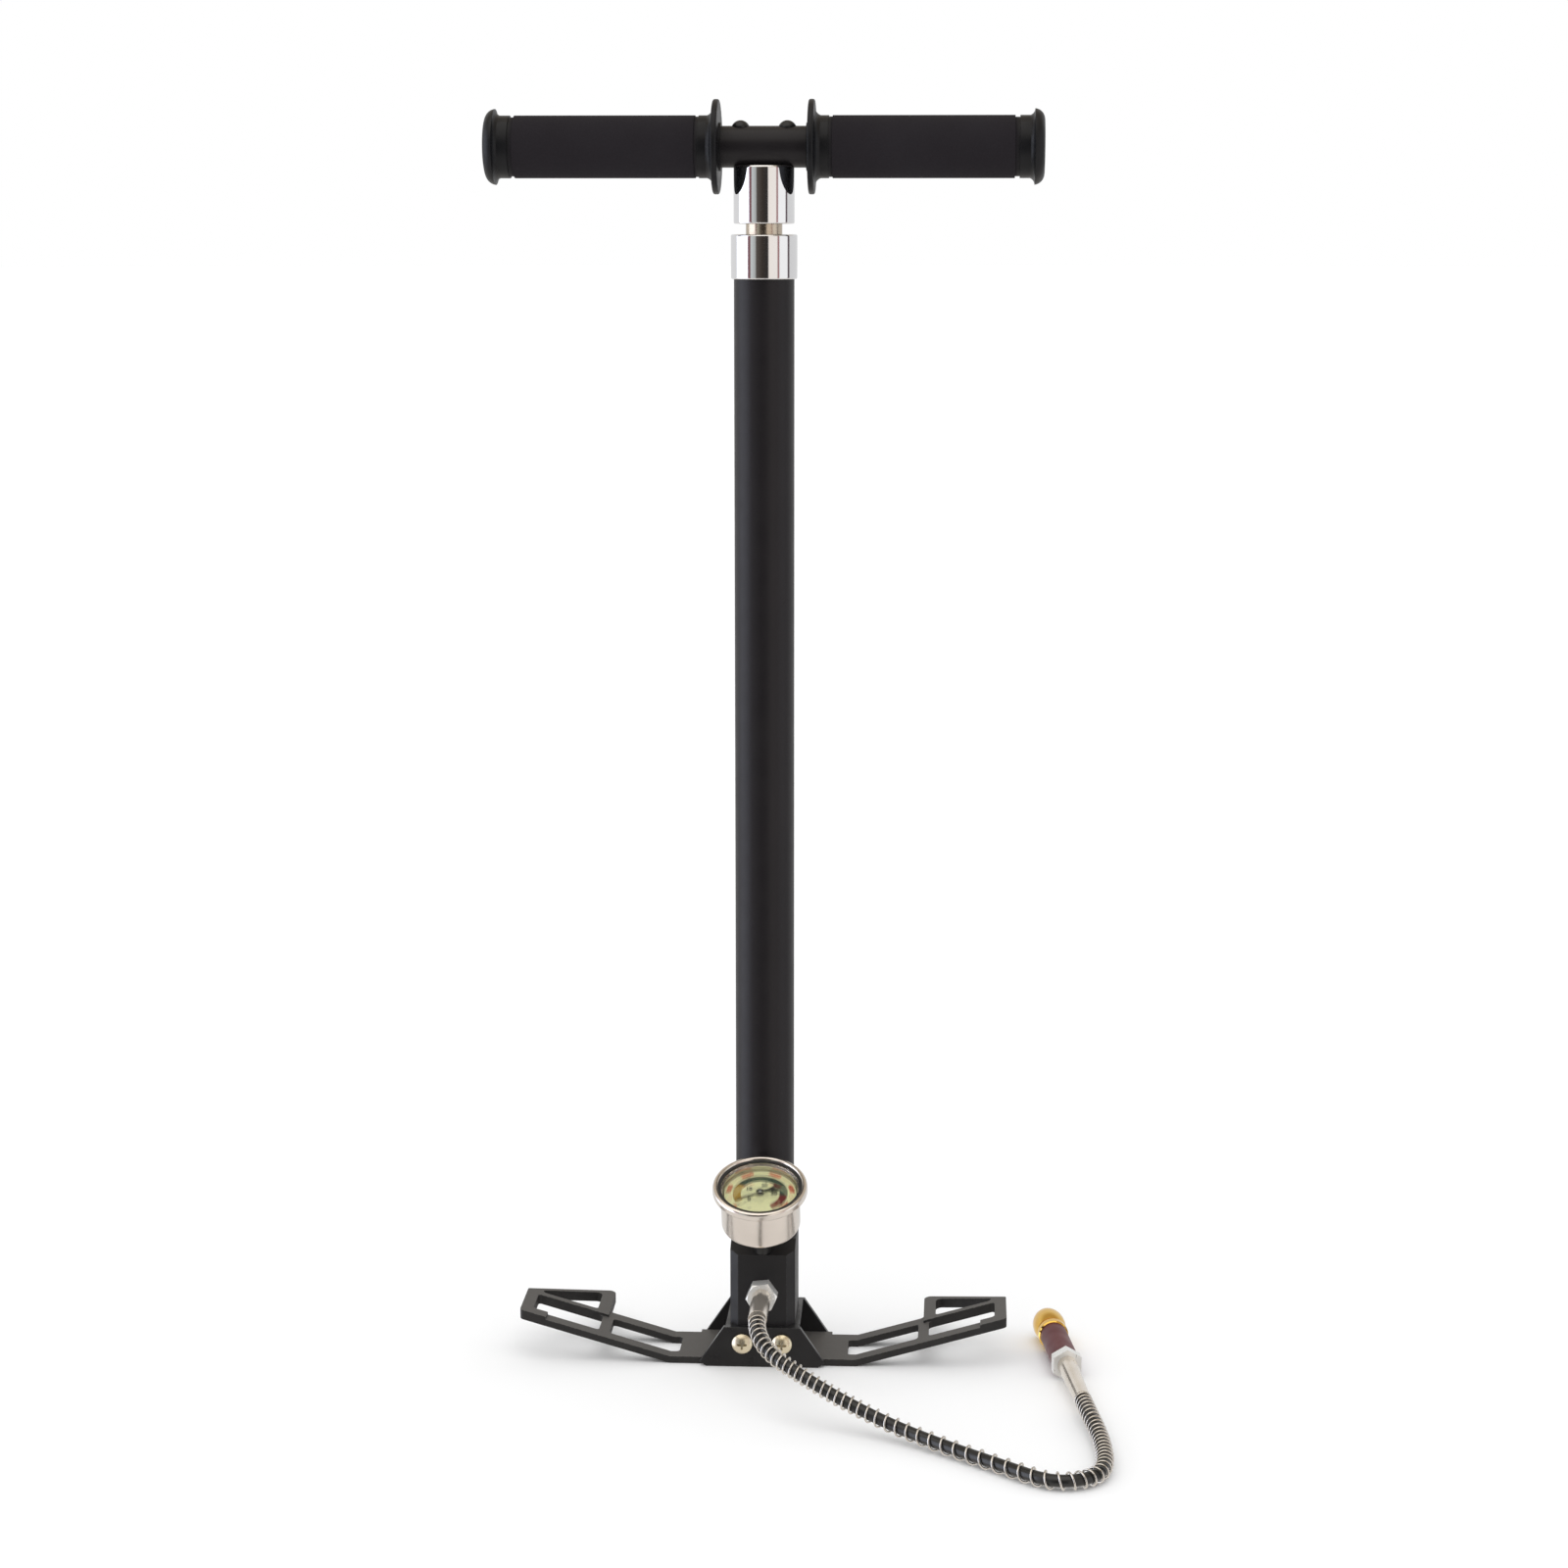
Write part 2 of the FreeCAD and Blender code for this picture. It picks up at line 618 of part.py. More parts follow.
def screw_holes(label, foot, height, radius):
    holes = []
    for side in (-1, 1):
        hole = cylinder("%s_%d" % (label, len(holes)), radius, height)
        holes.append(put(hole, size("grip_screw_x") * side, 0, foot))
    return holes


def make_handle_boss():
    """The chromed boss: blind bored for the rod below, saddled for the crossbar above."""
    radius, foot, top, rounding = sizes("boss_radius", "boss_foot", "boss_top", "boss_round")
    rod, rod_top, needle, needle_top = sizes("rod_radius", "rod_top", "needle_radius", "needle_top")
    body = turned("handle_boss_body", [
        (rod, foot), (radius, foot), (radius, top), (0, top), (0, needle_top),
        (needle, needle_top), (needle, rod_top), (rod, rod_top)])
    soften(body, "Fillet", rounding, ring(radius, top))
    soften(body, "Fillet", size("cap_edge"), ring(radius, foot))
    saddle = bar_hole("saddle", size("bar_radius"), radius * 4)
    screw_foot, screw = sizes("grip_screw_foot", "grip_screw_radius")
    holes = screw_holes("boss_screw_hole", screw_foot, top - screw_foot, screw)
    return cut("handle_boss", put(body), [saddle] + holes)


def make_crossbar():
    radius, bore, half, height = sizes("bar_radius", "bar_bore", "bar_half", "bar_height")
    body = pipe("crossbar_tube", radius, bore, 0, half * 2)
    put(body, -half, 0, height, TO_RIGHT)
    screw = size("grip_screw_radius")
    holes = screw_holes("bar_screw_hole", height - radius * 1.5, radius * 3, screw)
    seat = size("grip_screw_seat")
    faces = screw_holes("bar_screw_face", seat, radius, size("grip_screw_head") + size("head_fit"))
    return cut("crossbar", body, holes + faces)


def make_grip(label, rotation):
    """A moulded rubber grip with a hand guard at its inner end and a bulb at its outer."""
    bore, inner, hub, bottom, end = sizes(
        "grip_bore", "grip_inner", "grip_hub", "grip_bottom", "grip_end")
    guard_in, guard_out, guard, rounding = sizes(
        "guard_inner", "guard_outer", "guard_radius", "guard_round")
    flare_foot, flare_end, grip = sizes("flare_foot", "flare_end", "grip_radius")
    waist, waist_in, waist_out = sizes("waist_radius", "waist_inner", "waist_outer")
    neck, neck_in, neck_out = sizes("neck_radius", "neck_inner", "neck_outer")
    bulb_foot, bulb, widest, bulb_end = sizes("bulb_foot", "bulb_radius", "bulb_widest", "bulb_end")
    corner = 0.41
    grip_body = turned(label, [
        (bore, inner), (hub, inner), (hub, guard_in), (guard - rounding, guard_in, corner),
        (guard, guard_in + rounding), (guard, guard_out - rounding, corner),
        (guard - rounding, guard_out), (flare_foot, guard_out, -0.3),
        (grip, flare_end), (grip, waist_in), (waist, waist_in), (waist, waist_out),
        (grip, waist_out), (grip, neck_in), (neck, neck_in), (neck, neck_out),
        (grip, neck_out), (grip, bulb_foot, -0.3), (bulb, widest, 0.42),
        (bulb_end, end), (0, end), (0, bottom), (bore, bottom)])
    return put(grip_body, 0, 0, size("bar_height"), rotation)


def make_handle_screws():
    """Two button-head screws that hold the crossbar down on the boss."""
    foot, seat, radius, head, rim, crown = sizes(
        "grip_screw_foot", "grip_screw_seat", "grip_screw_radius", "grip_screw_head",
        "grip_screw_rim", "grip_screw_crown")
    shank = seat - foot
    screws = []
    for side in (-1, 1):
        screw = turned("handle_screw_%d" % len(screws), [
            (0, 0), (radius, 0), (radius, shank), (head, shank),
            (head, shank + rim, dome(head, crown - rim)), (0, shank + crown)])
        screws.append(put(screw, size("grip_screw_x") * side, 0, foot))
    return group("handle_screws", screws)


# --- base block and its valves --------------------------------------------------------

def make_block_body():
    """The block before drilling: an eight-sided bar with a sloped seat for the gauge."""
    half, front, back, corner = sizes("block_half", "block_front", "block_back", "block_corner")
    foot, top, edge, slope_y = sizes("block_foot", "block_top", "block_front_top", "block_slope_y")
    body = new_body("block_bar")
    plan = draw(body, "XY_Plane", [[
        (-half + corner, -front), (half - corner, -front), (half, -front + corner),
        (half, back - corner), (half - corner, back), (-half + corner, back),
        (-half, back - corner), (-half, -front + corner)]], (), foot)
    pad(body, plan, top - foot)
    side = draw(body, "YZ_Plane", [[
        (-front - 1, top + 1), (-front - 1, edge - (top - edge) / (front - slope_y)),
        (-slope_y, top), (-slope_y, top + 1)]])
    pocket(body, side, half * 4, both_ways=True)
    return put(body)


def gauge_drill(label, radius, start, depth):
    """A cylinder down the stem's axis, starting at the given distance below the case."""
    body = turned(label, [
        (0, -start - depth), (radius, -start - depth), (radius, -start), (0, -start)])
    return put_on_stem(body)


def make_base_block():
    height, front, back = sizes("hose_height", "block_front", "block_back")
    socket_foot, top, seat_y = sizes("socket_foot", "block_top", "bleed_seat_y")
    foot, chamber_top = sizes("block_foot", "chamber_top")
    stage_foot, port_depth = sizes("stage_tube_foot", "port_depth")
    fixing, fixing_top = sizes("fixing_radius", "fixing_top")
    socket = put(cylinder("barrel_socket", size("tube_radius"), top), 0, 0, socket_foot)
    stage = put(cylinder("stage_hole", size("stage_tube_radius"), top), 0, 0, stage_foot)
    seat = put(cylinder("valve_seat", size("seat_radius"), top), 0, 0, foot)
    chamber = cylinder("valve_chamber", size("chamber_radius"), chamber_top - foot)
    put(chamber, 0, 0, foot)
    port = put(cylinder("hose_port", size("port_radius"), port_depth), 0, -front, height, TO_BACK)
    passage = cylinder("hose_passage", size("passage_radius"), front)
    put(passage, 0, -front, height, TO_BACK)
    bleed = cylinder("bleed_hole", size("bleed_hole_radius"), back - seat_y)
    put(bleed, 0, seat_y, height, TO_BACK)
    bleed_seat = put(cylinder("bleed_seat", size("bleed_seat_radius"), back), 0, 0, height, TO_BACK)
    seal = cylinder("bleed_seal_pocket", *sizes("bleed_seal_pocket", "bleed_seal_depth"))
    put(seal, 0, back - size("bleed_seal_depth"), height, TO_BACK)
    stem_end, stem_start = sizes("stem_end", "stem_port_start")
    stem = gauge_drill("gauge_port", size("stem_radius"), stem_start, stem_end - stem_start)
    feed = gauge_drill("gauge_feed", size("bleed_seat_radius"), stem_end - 1, port_depth)
    fixings = []
    for number, y in enumerate((-size("fixing_front_y"), size("fixing_back_y"))):
        hole = cylinder("fixing_hole_%d" % number, fixing, fixing_top - foot)
        fixings.append(put(hole, 0, y, foot))
    drills = [socket, stage, seat, chamber, port, passage, bleed, bleed_seat, seal, stem, feed]
    return cut("base_block", make_block_body(), drills + fixings)


def make_valve_plug():
    """The screwed plug that closes the valve chamber from below."""
    foot, top, key_depth = sizes("valve_plug_foot", "valve_plug_top", "valve_key_depth")
    plug = new_body("valve_plug")
    disc = draw(plug, "XY_Plane", (), [(0, 0, size("chamber_radius"))])
    pad(plug, disc, top - foot)
    key = draw(plug, "XY_Plane", [hexagon(size("valve_key") * 2)])
    pocket(plug, key, key_depth, backwards=True)
    return put(plug, 0, 0, foot)


def coil(middle, wire, turns, length):
    """A round-wire spring of the given overall length whose first coil starts at Z = 0."""
    rise = length - 2 * wire
    helix = Part.makeHelix(rise / turns, rise, middle)
    section = Part.Wire(Part.Circle(Vector(middle, 0, 0), Vector(0, 1, 0), wire).toShape())
    return Part.Wire(helix.Edges).makePipeShell([section], True, True)


def valve_ball_height():
    """The ball's centre when it rests against the edge of its seat."""
    drop = math.sqrt(SIZES["valve_ball_radius"] ** 2 - SIZES["seat_radius"] ** 2)
    return size("chamber_top") - drop


def make_valve_spring():
    length = valve_ball_height().number - SIZES["valve_ball_radius"] - SIZES["valve_plug_top"]
    spring = coil(SIZES["valve_spring_mid"], SIZES["valve_spring_wire"],
                  SIZES["valve_spring_turns"], length)
    foot = size("valve_plug_top") + size("valve_spring_wire")
    return put(from_shape("valve_spring", spring), 0, 0, foot)


def make_valve_ball():
    ball = DOC.addObject("Part::Sphere", "valve_ball")
    ball.Label = "valve_ball"
    bind(ball, "Radius", size("valve_ball_radius"))
    return put(ball, 0, 0, valve_ball_height())


# --- bracket, hinge pins and feet -----------------------------------------------------

def make_hinge_bracket():
    """A folded channel: a web under the block and an ear in front and behind."""
    front, back, web, top = sizes("ear_front", "ear_back", "web_foot", "block_foot")
    top_half, wide, wide_z, foot_half = sizes(
        "ear_top_half", "ear_wide_half", "ear_wide_height", "ear_foot_half")
    body = new_body("hinge_bracket")
    face = draw(body, "XZ_Plane", [[
        (-foot_half, 0), (foot_half, 0), (wide, wide_z), (top_half, top),
        (-top_half, top), (-wide, wide_z)]], (), front)
    pad(body, face, front + back, backwards=True)
    gap = draw(body, "YZ_Plane", [[
        (-size("block_front"), -1), (size("block_back"), -1), (size("block_back"), web),
        (-size("block_front"), web)]])
    pocket(body, gap, wide * 4, both_ways=True)
    inner, outer = size("web_half"), wide + 1
    sides = draw(body, "XY_Plane", [
        [(near, -size("block_front")), (far, -size("block_front")),
         (far, size("block_back")), (near, size("block_back"))]
        for near, far in ((inner, outer), (-outer, -inner))])
    pocket(body, sides, top * 4, both_ways=True)
    x, z, pin = sizes("hinge_x", "hinge_height", "pin_radius")
    holes = draw(body, "XZ_Plane", (), [(x, z, pin), (-x, z, pin)])
    pocket(body, holes, front * 4, both_ways=True)
    fixing = size("fixing_radius")
    screws = draw(body, "XY_Plane", (), [
        (0, -size("fixing_front_y"), fixing), (0, size("fixing_back_y"), fixing)])
    pocket(body, screws, top * 4, both_ways=True)
    return put(body)


def make_bracket_screws():
    radius, head, head_height, top = sizes(
        "fixing_radius", "fixing_head", "fixing_head_height", "fixing_top")
    foot = size("web_foot") - head_height
    screws = []
    for y in (-size("fixing_front_y"), size("fixing_back_y")):
        screw = turned("bracket_screw_%d" % len(screws), [
            (0, 0), (head - head_height / 2, 0, 0.4), (head, head_height / 2), (head, head_height),
            (radius, head_height), (radius, top - foot), (0, top - foot)])
        screws.append(put(screw, 0, y, foot))
    return group("bracket_screws", screws)


def make_hinge_screw(number, side):
    """One cross-head pan screw through both ears; a foot turns on its shank."""
    pin, head, rim, crown, end = sizes(
        "pin_radius", "pin_head_radius", "pin_head_rim", "pin_head_crown", "pin_end")
    width, span, depth = sizes("recess_width", "recess_span", "recess_depth")
    shank = size("ear_front") + end
    body = turned("hinge_screw_%d" % number, [
        (0, 0), (pin, 0), (pin, shank), (head, shank),
        (head, shank + rim, dome(head, crown - rim)), (0, shank + crown)])
    x, z = size("hinge_x") * side, size("hinge_height")
    put(body, x, end, z, TO_FRONT)
    slots = []
    for name, long_side, short_side in (("across", span, width), ("down", width, span)):
        slot = box("%s_%d" % (name, number), long_side, short_side, depth * 2)
        put(slot, x - long_side / 2, end - shank - crown + depth, z - short_side / 2, TO_FRONT)
        slots.append(slot)
    return cut("cross_head_%d" % number, body, slots)


def make_hinge_screws():
    return group("hinge_screws", [make_hinge_screw(n, side) for n, side in enumerate((-1, 1))])


def make_hinge_nuts():
    nuts = []
    for side in (-1, 1):
        nut = hex_piece("hinge_nut_%d" % len(nuts), size("nut_flats"), 0, size("nut_height"),
                        size("pin_radius"), 0.0, 0.5)
        nuts.append(put(nut, size("hinge_x") * side, size("ear_back"), size("hinge_height"), TO_BACK))
    return group("hinge_nuts", nuts)


def foot_plan():
    """The foot seen from above: a long plate with two slots and a three-sided loop."""
    inner, tip, front, hinge_back, back, shoulder = sizes(
        "foot_inner", "foot_tip", "foot_front", "foot_hinge_back", "foot_back", "foot_shoulder")
    near, far_x, loop_back = sizes("loop_near", "loop_far_x", "loop_back")
    slot_front, slot_back = sizes("slot_front", "slot_back")
    outline = [
        (inner, -front), (tip, -front), (tip, size("tip_back")), (far_x, loop_back), (near, loop_back),
        (near, back), (shoulder, back), (shoulder, hinge_back), (inner, hinge_back)]
    holes = []
    for slot in ("slot_one", "slot_two"):
        left, right = sizes(slot + "_near", slot + "_far")
        holes.append([(left, -slot_front), (right, -slot_front), (right, slot_back),
                      (left, slot_back)])
    bar, hole_front, hole_far, hole_back = sizes(
        "loop_bar", "loop_hole_front", "loop_hole_far", "loop_hole_back")
    holes.append([(bar, hole_front), (hole_far, hole_front), (bar, hole_back)])
    return [outline] + holes


def foot_surface(reach, lift):
    """The side view of what lies above the foot's top surface, out to the given X."""
    inner, bend, plate, tip, rise, stock = sizes(
        "foot_inner", "foot_bend", "foot_plate", "foot_tip", "foot_rise", "foot_stock")
    slope = rise / (tip - bend)
    level = plate + lift
    end = level + slope * (reach - bend)
    return [(inner - 1, level), (bend, level), (reach, end), (reach, stock + 1),
            (inner - 1, stock + 1)]


def make_right_foot():
    """The right foot: flat on the floor by the hinge, then rising gently to its tip."""
    front, back, stock, step = sizes("foot_front", "loop_back", "foot_stock", "foot_step")
    bend, tip, rise = sizes("foot_bend", "foot_tip", "foot_rise")
    body = new_body("right_foot")
    pad(body, draw(body, "XY_Plane", foot_plan()), stock)
    soften(body, "Fillet", size("foot_corner"), is_outer_corner)
    beyond = tip + 1
    raised = draw(body, "XZ_Plane", [foot_surface(beyond, step)])
    pocket(body, raised, back * 4, both_ways=True)
    slope = rise / (tip - bend)
    under = draw(body, "XZ_Plane", [[(bend, 0), (beyond, -1), (beyond, slope * (beyond - bend))]])
    pocket(body, under, back * 4, both_ways=True)
    hinge_end = draw(body, "XZ_Plane", [foot_surface(size("loop_near"), 0)])
    pocket(body, hinge_end, back * 4, both_ways=True)
    front_rail = draw(body, "XZ_Plane", [foot_surface(size("step_end"), 0)], (), -size("slot_back"))
    pocket(body, front_rail, front * 2, backwards=True)
    add_knuckles(body)
    return put(body)


def is_outer_corner(edge):
    """An upright edge of the foot from its first slot outwards."""
    start, end = edge.Vertexes[0].Point, edge.Vertexes[-1].Point
    upright = abs(start.x - end.x) < 1e-6 and abs(start.y - end.y) < 1e-6
    return upright and start.x > SIZES["slot_one_near"] - 1


def add_knuckles(body):
    """Two lugs that stand on the foot's hinge end and ride on the pin."""
    x, z, radius, length = sizes("hinge_x", "hinge_height", "knuckle_radius", "knuckle_length")
    front, back = sizes("foot_front", "foot_hinge_back")
    plate = size("foot_plate")
    quarter = math.tan(math.radians(22.5))
    lug = [(x - radius, plate / 2), (x + radius, plate / 2), (x + radius, z, quarter),
           (x, z + radius, quarter), (x - radius, z)]
    for place in (front, length - back):
        sketch = draw(body, "XZ_Plane", [lug], (), place)
        pad(body, sketch, length, backwards=True)
    bore = draw(body, "XZ_Plane", (), [(x, z, size("knuckle_bore"))])
    pocket(body, bore, front * 4, both_ways=True)


# --- gauge ----------------------------------------------------------------------------

def make_gauge_case():
    """A deep stainless cup with a rolled rim that holds the lens and its gasket."""
    radius, inner, floor, corner = sizes("case_radius", "case_inner", "case_floor", "case_corner")
    neck, rim, rim_foot, rim_side = sizes("case_neck", "rim_radius", "rim_foot", "rim_side")
    top, crest, rim_inner, rim_bottom = sizes("rim_top", "rim_crest", "rim_inner", "rim_bottom")
    seat, pocket_radius, hole = sizes("lens_seat", "lens_pocket", "stem_radius")
    body = turned("gauge_case", [
        (0, 0), (radius - corner, 0, 0.4142), (radius, corner), (radius, neck, -0.3),
        (rim - 1, rim_foot, 0.3), (rim, rim_foot + 1), (rim, rim_side, 0.4), (crest, top, 0.4),
        (rim_inner, top - 1), (rim_inner, rim_bottom), (pocket_radius, rim_bottom),
        (pocket_radius, seat), (inner, seat), (inner, floor), (0, floor)])
    entry = draw(body, "XY_Plane", (), [(0, size("stem_offset"), hole)])
    pocket(body, entry, floor, backwards=True)
    return put_on_gauge(body)


def make_gauge_lens():
    radius, seat, top = sizes("lens_radius", "lens_seat", "rim_bottom")
    return put_on_gauge(turned("gauge_lens", [(0, seat), (radius, seat), (radius, top), (0, top)]))


def make_gauge_gasket():
    outer, inner, foot, top = sizes("gasket_outer", "gasket_inner", "gasket_foot", "gasket_top")
    return put_on_gauge(pipe("gauge_gasket", outer, inner, foot, top))


def make_gauge_dial():
    return put_on_gauge(pipe("gauge_dial", *sizes(
        "dial_radius", "dial_hole", "dial_foot", "dial_top")))


def make_gauge_stem():
    """The threaded stem: block end, neck, spanner hexagon and the nut inside the case."""
    radius, end, neck, neck_foot = sizes(
        "stem_radius", "stem_end", "stem_neck_radius", "stem_neck_foot")
    hex_foot, hex_top, nut, nut_top, floor = sizes(
        "stem_hex_foot", "stem_hex_top", "stem_nut_radius", "stem_nut_top", "case_floor")
    core = turned("stem_core", [
        (0, -end), (radius, -end), (radius, -neck_foot), (neck, -neck_foot), (neck, -hex_foot),
        (radius, -hex_foot), (radius, floor), (nut, floor), (nut, nut_top), (0, nut_top)])
    spanner = hex_piece("stem_hexagon", size("stem_flats"), -hex_foot, -hex_top, radius, 30.0, 0.5)
    stem = fused("gauge_stem_solid", [put_on_stem(core), put_on_stem(spanner)])
    bore = gauge_drill("stem_bore", size("bleed_seat_radius"), -nut_top - 1, end + nut_top + 2)
    return cut("gauge_stem", stem, [bore])


def make_gauge_movement():
    """The block behind the dial: it carries the spindle and the curved tube's fixed end."""
    length, width, foot, top = sizes(
        "movement_length", "movement_width", "stem_nut_top", "movement_top")
    arm = size("bourdon_mid") + size("bourdon_tube")
    body = new_body("gauge_movement")
    outline = [(-length / 2, -width / 2), (arm, -width / 2), (arm, 0), (length / 2, 0),
               (length / 2, width / 2), (-length / 2, width / 2)]
    pad(body, draw(body, "XY_Plane", [outline], (), foot), top - foot)
    bore = draw(body, "XY_Plane", (), [(0, 0, size("spindle_radius") + 0.05)], top)
    pocket(body, bore, top - size("spindle_foot") + size("spindle_end_gap"))
    return put_on_gauge(body)


def make_bourdon_tube():
    """The curved tube that uncoils under pressure and drives the movement."""
    tube = o_ring("bourdon_tube", *sizes("bourdon_mid", "bourdon_tube"))
    bind(tube, "Angle3", size("bourdon_sweep"))
    put_on_gauge(tube)
    reach = GAUGE_TURN.multVec(Vector(0, 0, 1))
    y = -size("gauge_y") + size("bourdon_height") * reach.y
    z = size("gauge_z") + size("bourdon_height") * reach.z
    return put(tube, 0, y, z, GAUGE_TURN)


def make_gauge_spindle():
    radius, foot, top = sizes("spindle_radius", "spindle_foot", "spindle_top")
    return put_on_gauge(turned("gauge_spindle", [(0, foot), (radius, foot), (radius, top), (0, top)]))


def make_gauge_pointer():
    """A thin pointer with a broad tail and a hub; it rests at the dial's zero."""
    foot, thick, tip, root = sizes("pointer_foot", "pointer_thick", "pointer_tip", "pointer_root")
    tail, tail_half, hub, hub_top = sizes(
        "pointer_tail", "pointer_tail_half", "pointer_hub", "pointer_hub_top")
    body = new_body("gauge_pointer")
    shape = draw(body, "XY_Plane", [[
        (tip, -0.2), (tip, 0.2), (0, root / 2), (-tail / 2, root / 2), (-tail, tail_half),
        (-tail, -tail_half), (-tail / 2, -root / 2), (0, -root / 2)]], (), foot)
    pad(body, shape, thick)
    pad(body, draw(body, "XY_Plane", (), [(0, 0, hub)], foot), hub_top - foot)
    bore = draw(body, "XY_Plane", (), [(0, 0, size("spindle_radius"))], hub_top)
    pocket(body, bore, hub_top)
    turn = GAUGE_TURN * Rotation(Vector(0, 0, 1), SIZES["pointer_zero"])
    return put(body, 0, -size("gauge_y"), size("gauge_z"), turn)


# --- bleed screw ----------------------------------------------------------------------

def put_on_bleed(item):
    return put(item, 0, size("block_back"), size("hose_height"), TO_BACK)


def make_bleed_pin():
    radius, foot, top, cone = sizes("bleed_pin_radius", "bleed_pin_foot", "bleed_pin_top", "bleed_cone")
    tip = size("bleed_seat_radius") / 2
    return put_on_bleed(turned("bleed_pin", [
        (0, -foot), (tip, -foot), (radius, -foot + cone), (radius, top), (0, top)]))


def make_bleed_screw():
    """The knurled knob that draws the pin off its seat."""
    radius, foot, top, collar, collar_top = sizes(
        "knob_radius", "knob_foot", "knob_top", "knob_collar", "knob_collar_top")
    bore, bottom = sizes("knob_bore", "knob_bottom")
    body = turned("bleed_screw", [
        (bore, foot), (collar, foot), (collar, collar_top), (radius, collar_top), (radius, top),
        (0, top), (0, bottom), (bore, bottom)])
    soften(body, "Chamfer", size("knob_edge"), any_of(ring(radius, collar_top), ring(radius, top)))
    return put_on_bleed(body)


def make_bleed_seal():
    seal = o_ring("bleed_seal", *sizes("bleed_seal_mid", "bleed_seal_wire"))
    y = size("block_back") - size("bleed_seal_depth") / 2
    return put(seal, 0, y, size("hose_height"), TO_BACK)


# --- hose and fittings ----------------------------------------------------------------

def make_hose_fitting():
    flats, length, turn, edge = sizes("fitting_flats", "fitting_hex", "fitting_turn", "fitting_edge")
    thread, depth, bore = sizes("port_radius", "port_depth", "fitting_bore")
    spot = (0, -size("block_front"), size("hose_height"), TO_FRONT)
    hexagon_part = hex_piece("fitting_hexagon", flats, 0, length, bore, turn.number, edge.number)
    tail = pipe("fitting_thread", thread, bore, -depth, 0)
    return fused("hose_fitting", [put(hexagon_part, *spot), put(tail, *spot)])


def make_ferrule_base():
    """The crimped ferrule on the pump end of the hose."""
    root, end, core = sizes("ferrule_root", "ferrule_base_end", "ferrule_core")
    start = size("fitting_hex")
    finish = start + size("ferrule_base_length")
    body = turned("ferrule_base", [(core, start), (root, start), (end, finish), (core, finish)])
    return put(body, 0, -size("block_front"), size("hose_height"), TO_FRONT)


def route_points():
    return [Vector(x, y + SIZES["axis_y"], z) for x, y, z in HOSE_ROUTE]


def route_wire(points):
    """Straight runs joined by tangent arcs, each as large as its two runs allow."""
    edges = []
    radii = []
    here = points[0]
    for before, corner, after in zip(points, points[1:], points[2:]):
        come = (corner - before).normalize()
        leave = (after - corner).normalize()
        half_turn = come.getAngle(leave) / 2
        reach = 0.45 * min((corner - before).Length, (after - corner).Length)
        start = corner - come * reach
        end = corner + leave * reach
        radius = reach / math.tan(half_turn)
        inward = (leave - come).normalize()
        middle = corner + inward * (radius / math.cos(half_turn) - radius)
        edges.append(Part.LineSegment(here, start).toShape())
        edges.append(Part.Arc(start, middle, end).toShape())
        radii.append(radius)
        here = end
    edges.append(Part.LineSegment(here, points[-1]).toShape())
    return Part.Wire(edges), radii


def round_sweep(wire, points, radius):
    heading = points[1] - points[0]
    section = Part.Wire(Part.Circle(points[0], heading, radius).toShape())
    return wire.makePipeShell([section], True, True)


def make_hose():
    points = route_points()
    wire, radii = route_wire(points)
    radius = SIZES["hose_radius"]
    shape = round_sweep(wire, points, radius)
    ratio = shape.Volume / (math.pi * radius ** 2 * wire.Length)
    print("hose length %.1f mm, volume over section times length %.4f" % (wire.Length, ratio))
    print("hose arc radii", " ".join("%.1f" % radius for radius in radii))
    return from_shape("hose", shape)


def make_spring_guard():
    """The guard as a plain sleeve: the outside of its coil, clear of the hose."""
    points = route_points()
    wire, radii = route_wire(points)
    outer = round_sweep(wire, points, SIZES["guard_wire_radius"])
    inner = round_sweep(wire, points, SIZES["guard_bore"])
    return from_shape("spring_guard", outer.cut(inner))


def make_ferrule_end():
    root, tip, core, length = sizes(
        "ferrule_root", "ferrule_tip", "ferrule_core", "ferrule_end_length")
    return put_on_coupler(turned("ferrule_end", [
        (core, 0), (tip, 0), (root, length), (core, length)]))


def make_coupling_nut():
    start, end, flats, core = sizes(
        "ferrule_end_length", "coupler_hex_end", "coupler_flats", "core_radius")
    passage = size("core_foot")
    body = hex_piece("coupling_nut_hexagon", flats, start, end, size("core_passage"), 30.0)
    recess = turned("coupling_nut_recess", [
        (0, passage), (core, passage), (core, end + 1), (0, end + 1)])
    return cut("coupling_nut", put_on_coupler(body), [put_on_coupler(recess)])


def make_coupling_core():
    """The coupler's body: a socket for an 8 mm probe, with a seal groove and ball holes."""
    foot, radius, bore_foot, bore, end, passage = sizes(
        "core_foot", "core_radius", "core_bore_foot", "probe_bore", "core_end", "core_passage")
    body = put_on_coupler(turned("core_body", [
        (passage, foot), (radius, foot), (radius, end), (bore, end), (bore, bore_foot),
        (passage, bore_foot)]))
    tools = []
    for angle in lock_ball_angles():
        hole_radius = size("lock_ball_radius") + size("ball_fit")
        hole = cylinder("ball_hole_%d" % len(tools), hole_radius, radius * 2)
        tools.append(put_lock_item(hole, angle, 0))
    groove = put_seal_item(o_ring("seal_groove", size("probe_seal_mid"), size("probe_seal_wire") + 0.05))
    return cut("coupling_core", body, tools + [groove])


def lock_ball_angles():
    return [360 / LOCK_BALLS * number for number in range(LOCK_BALLS)]


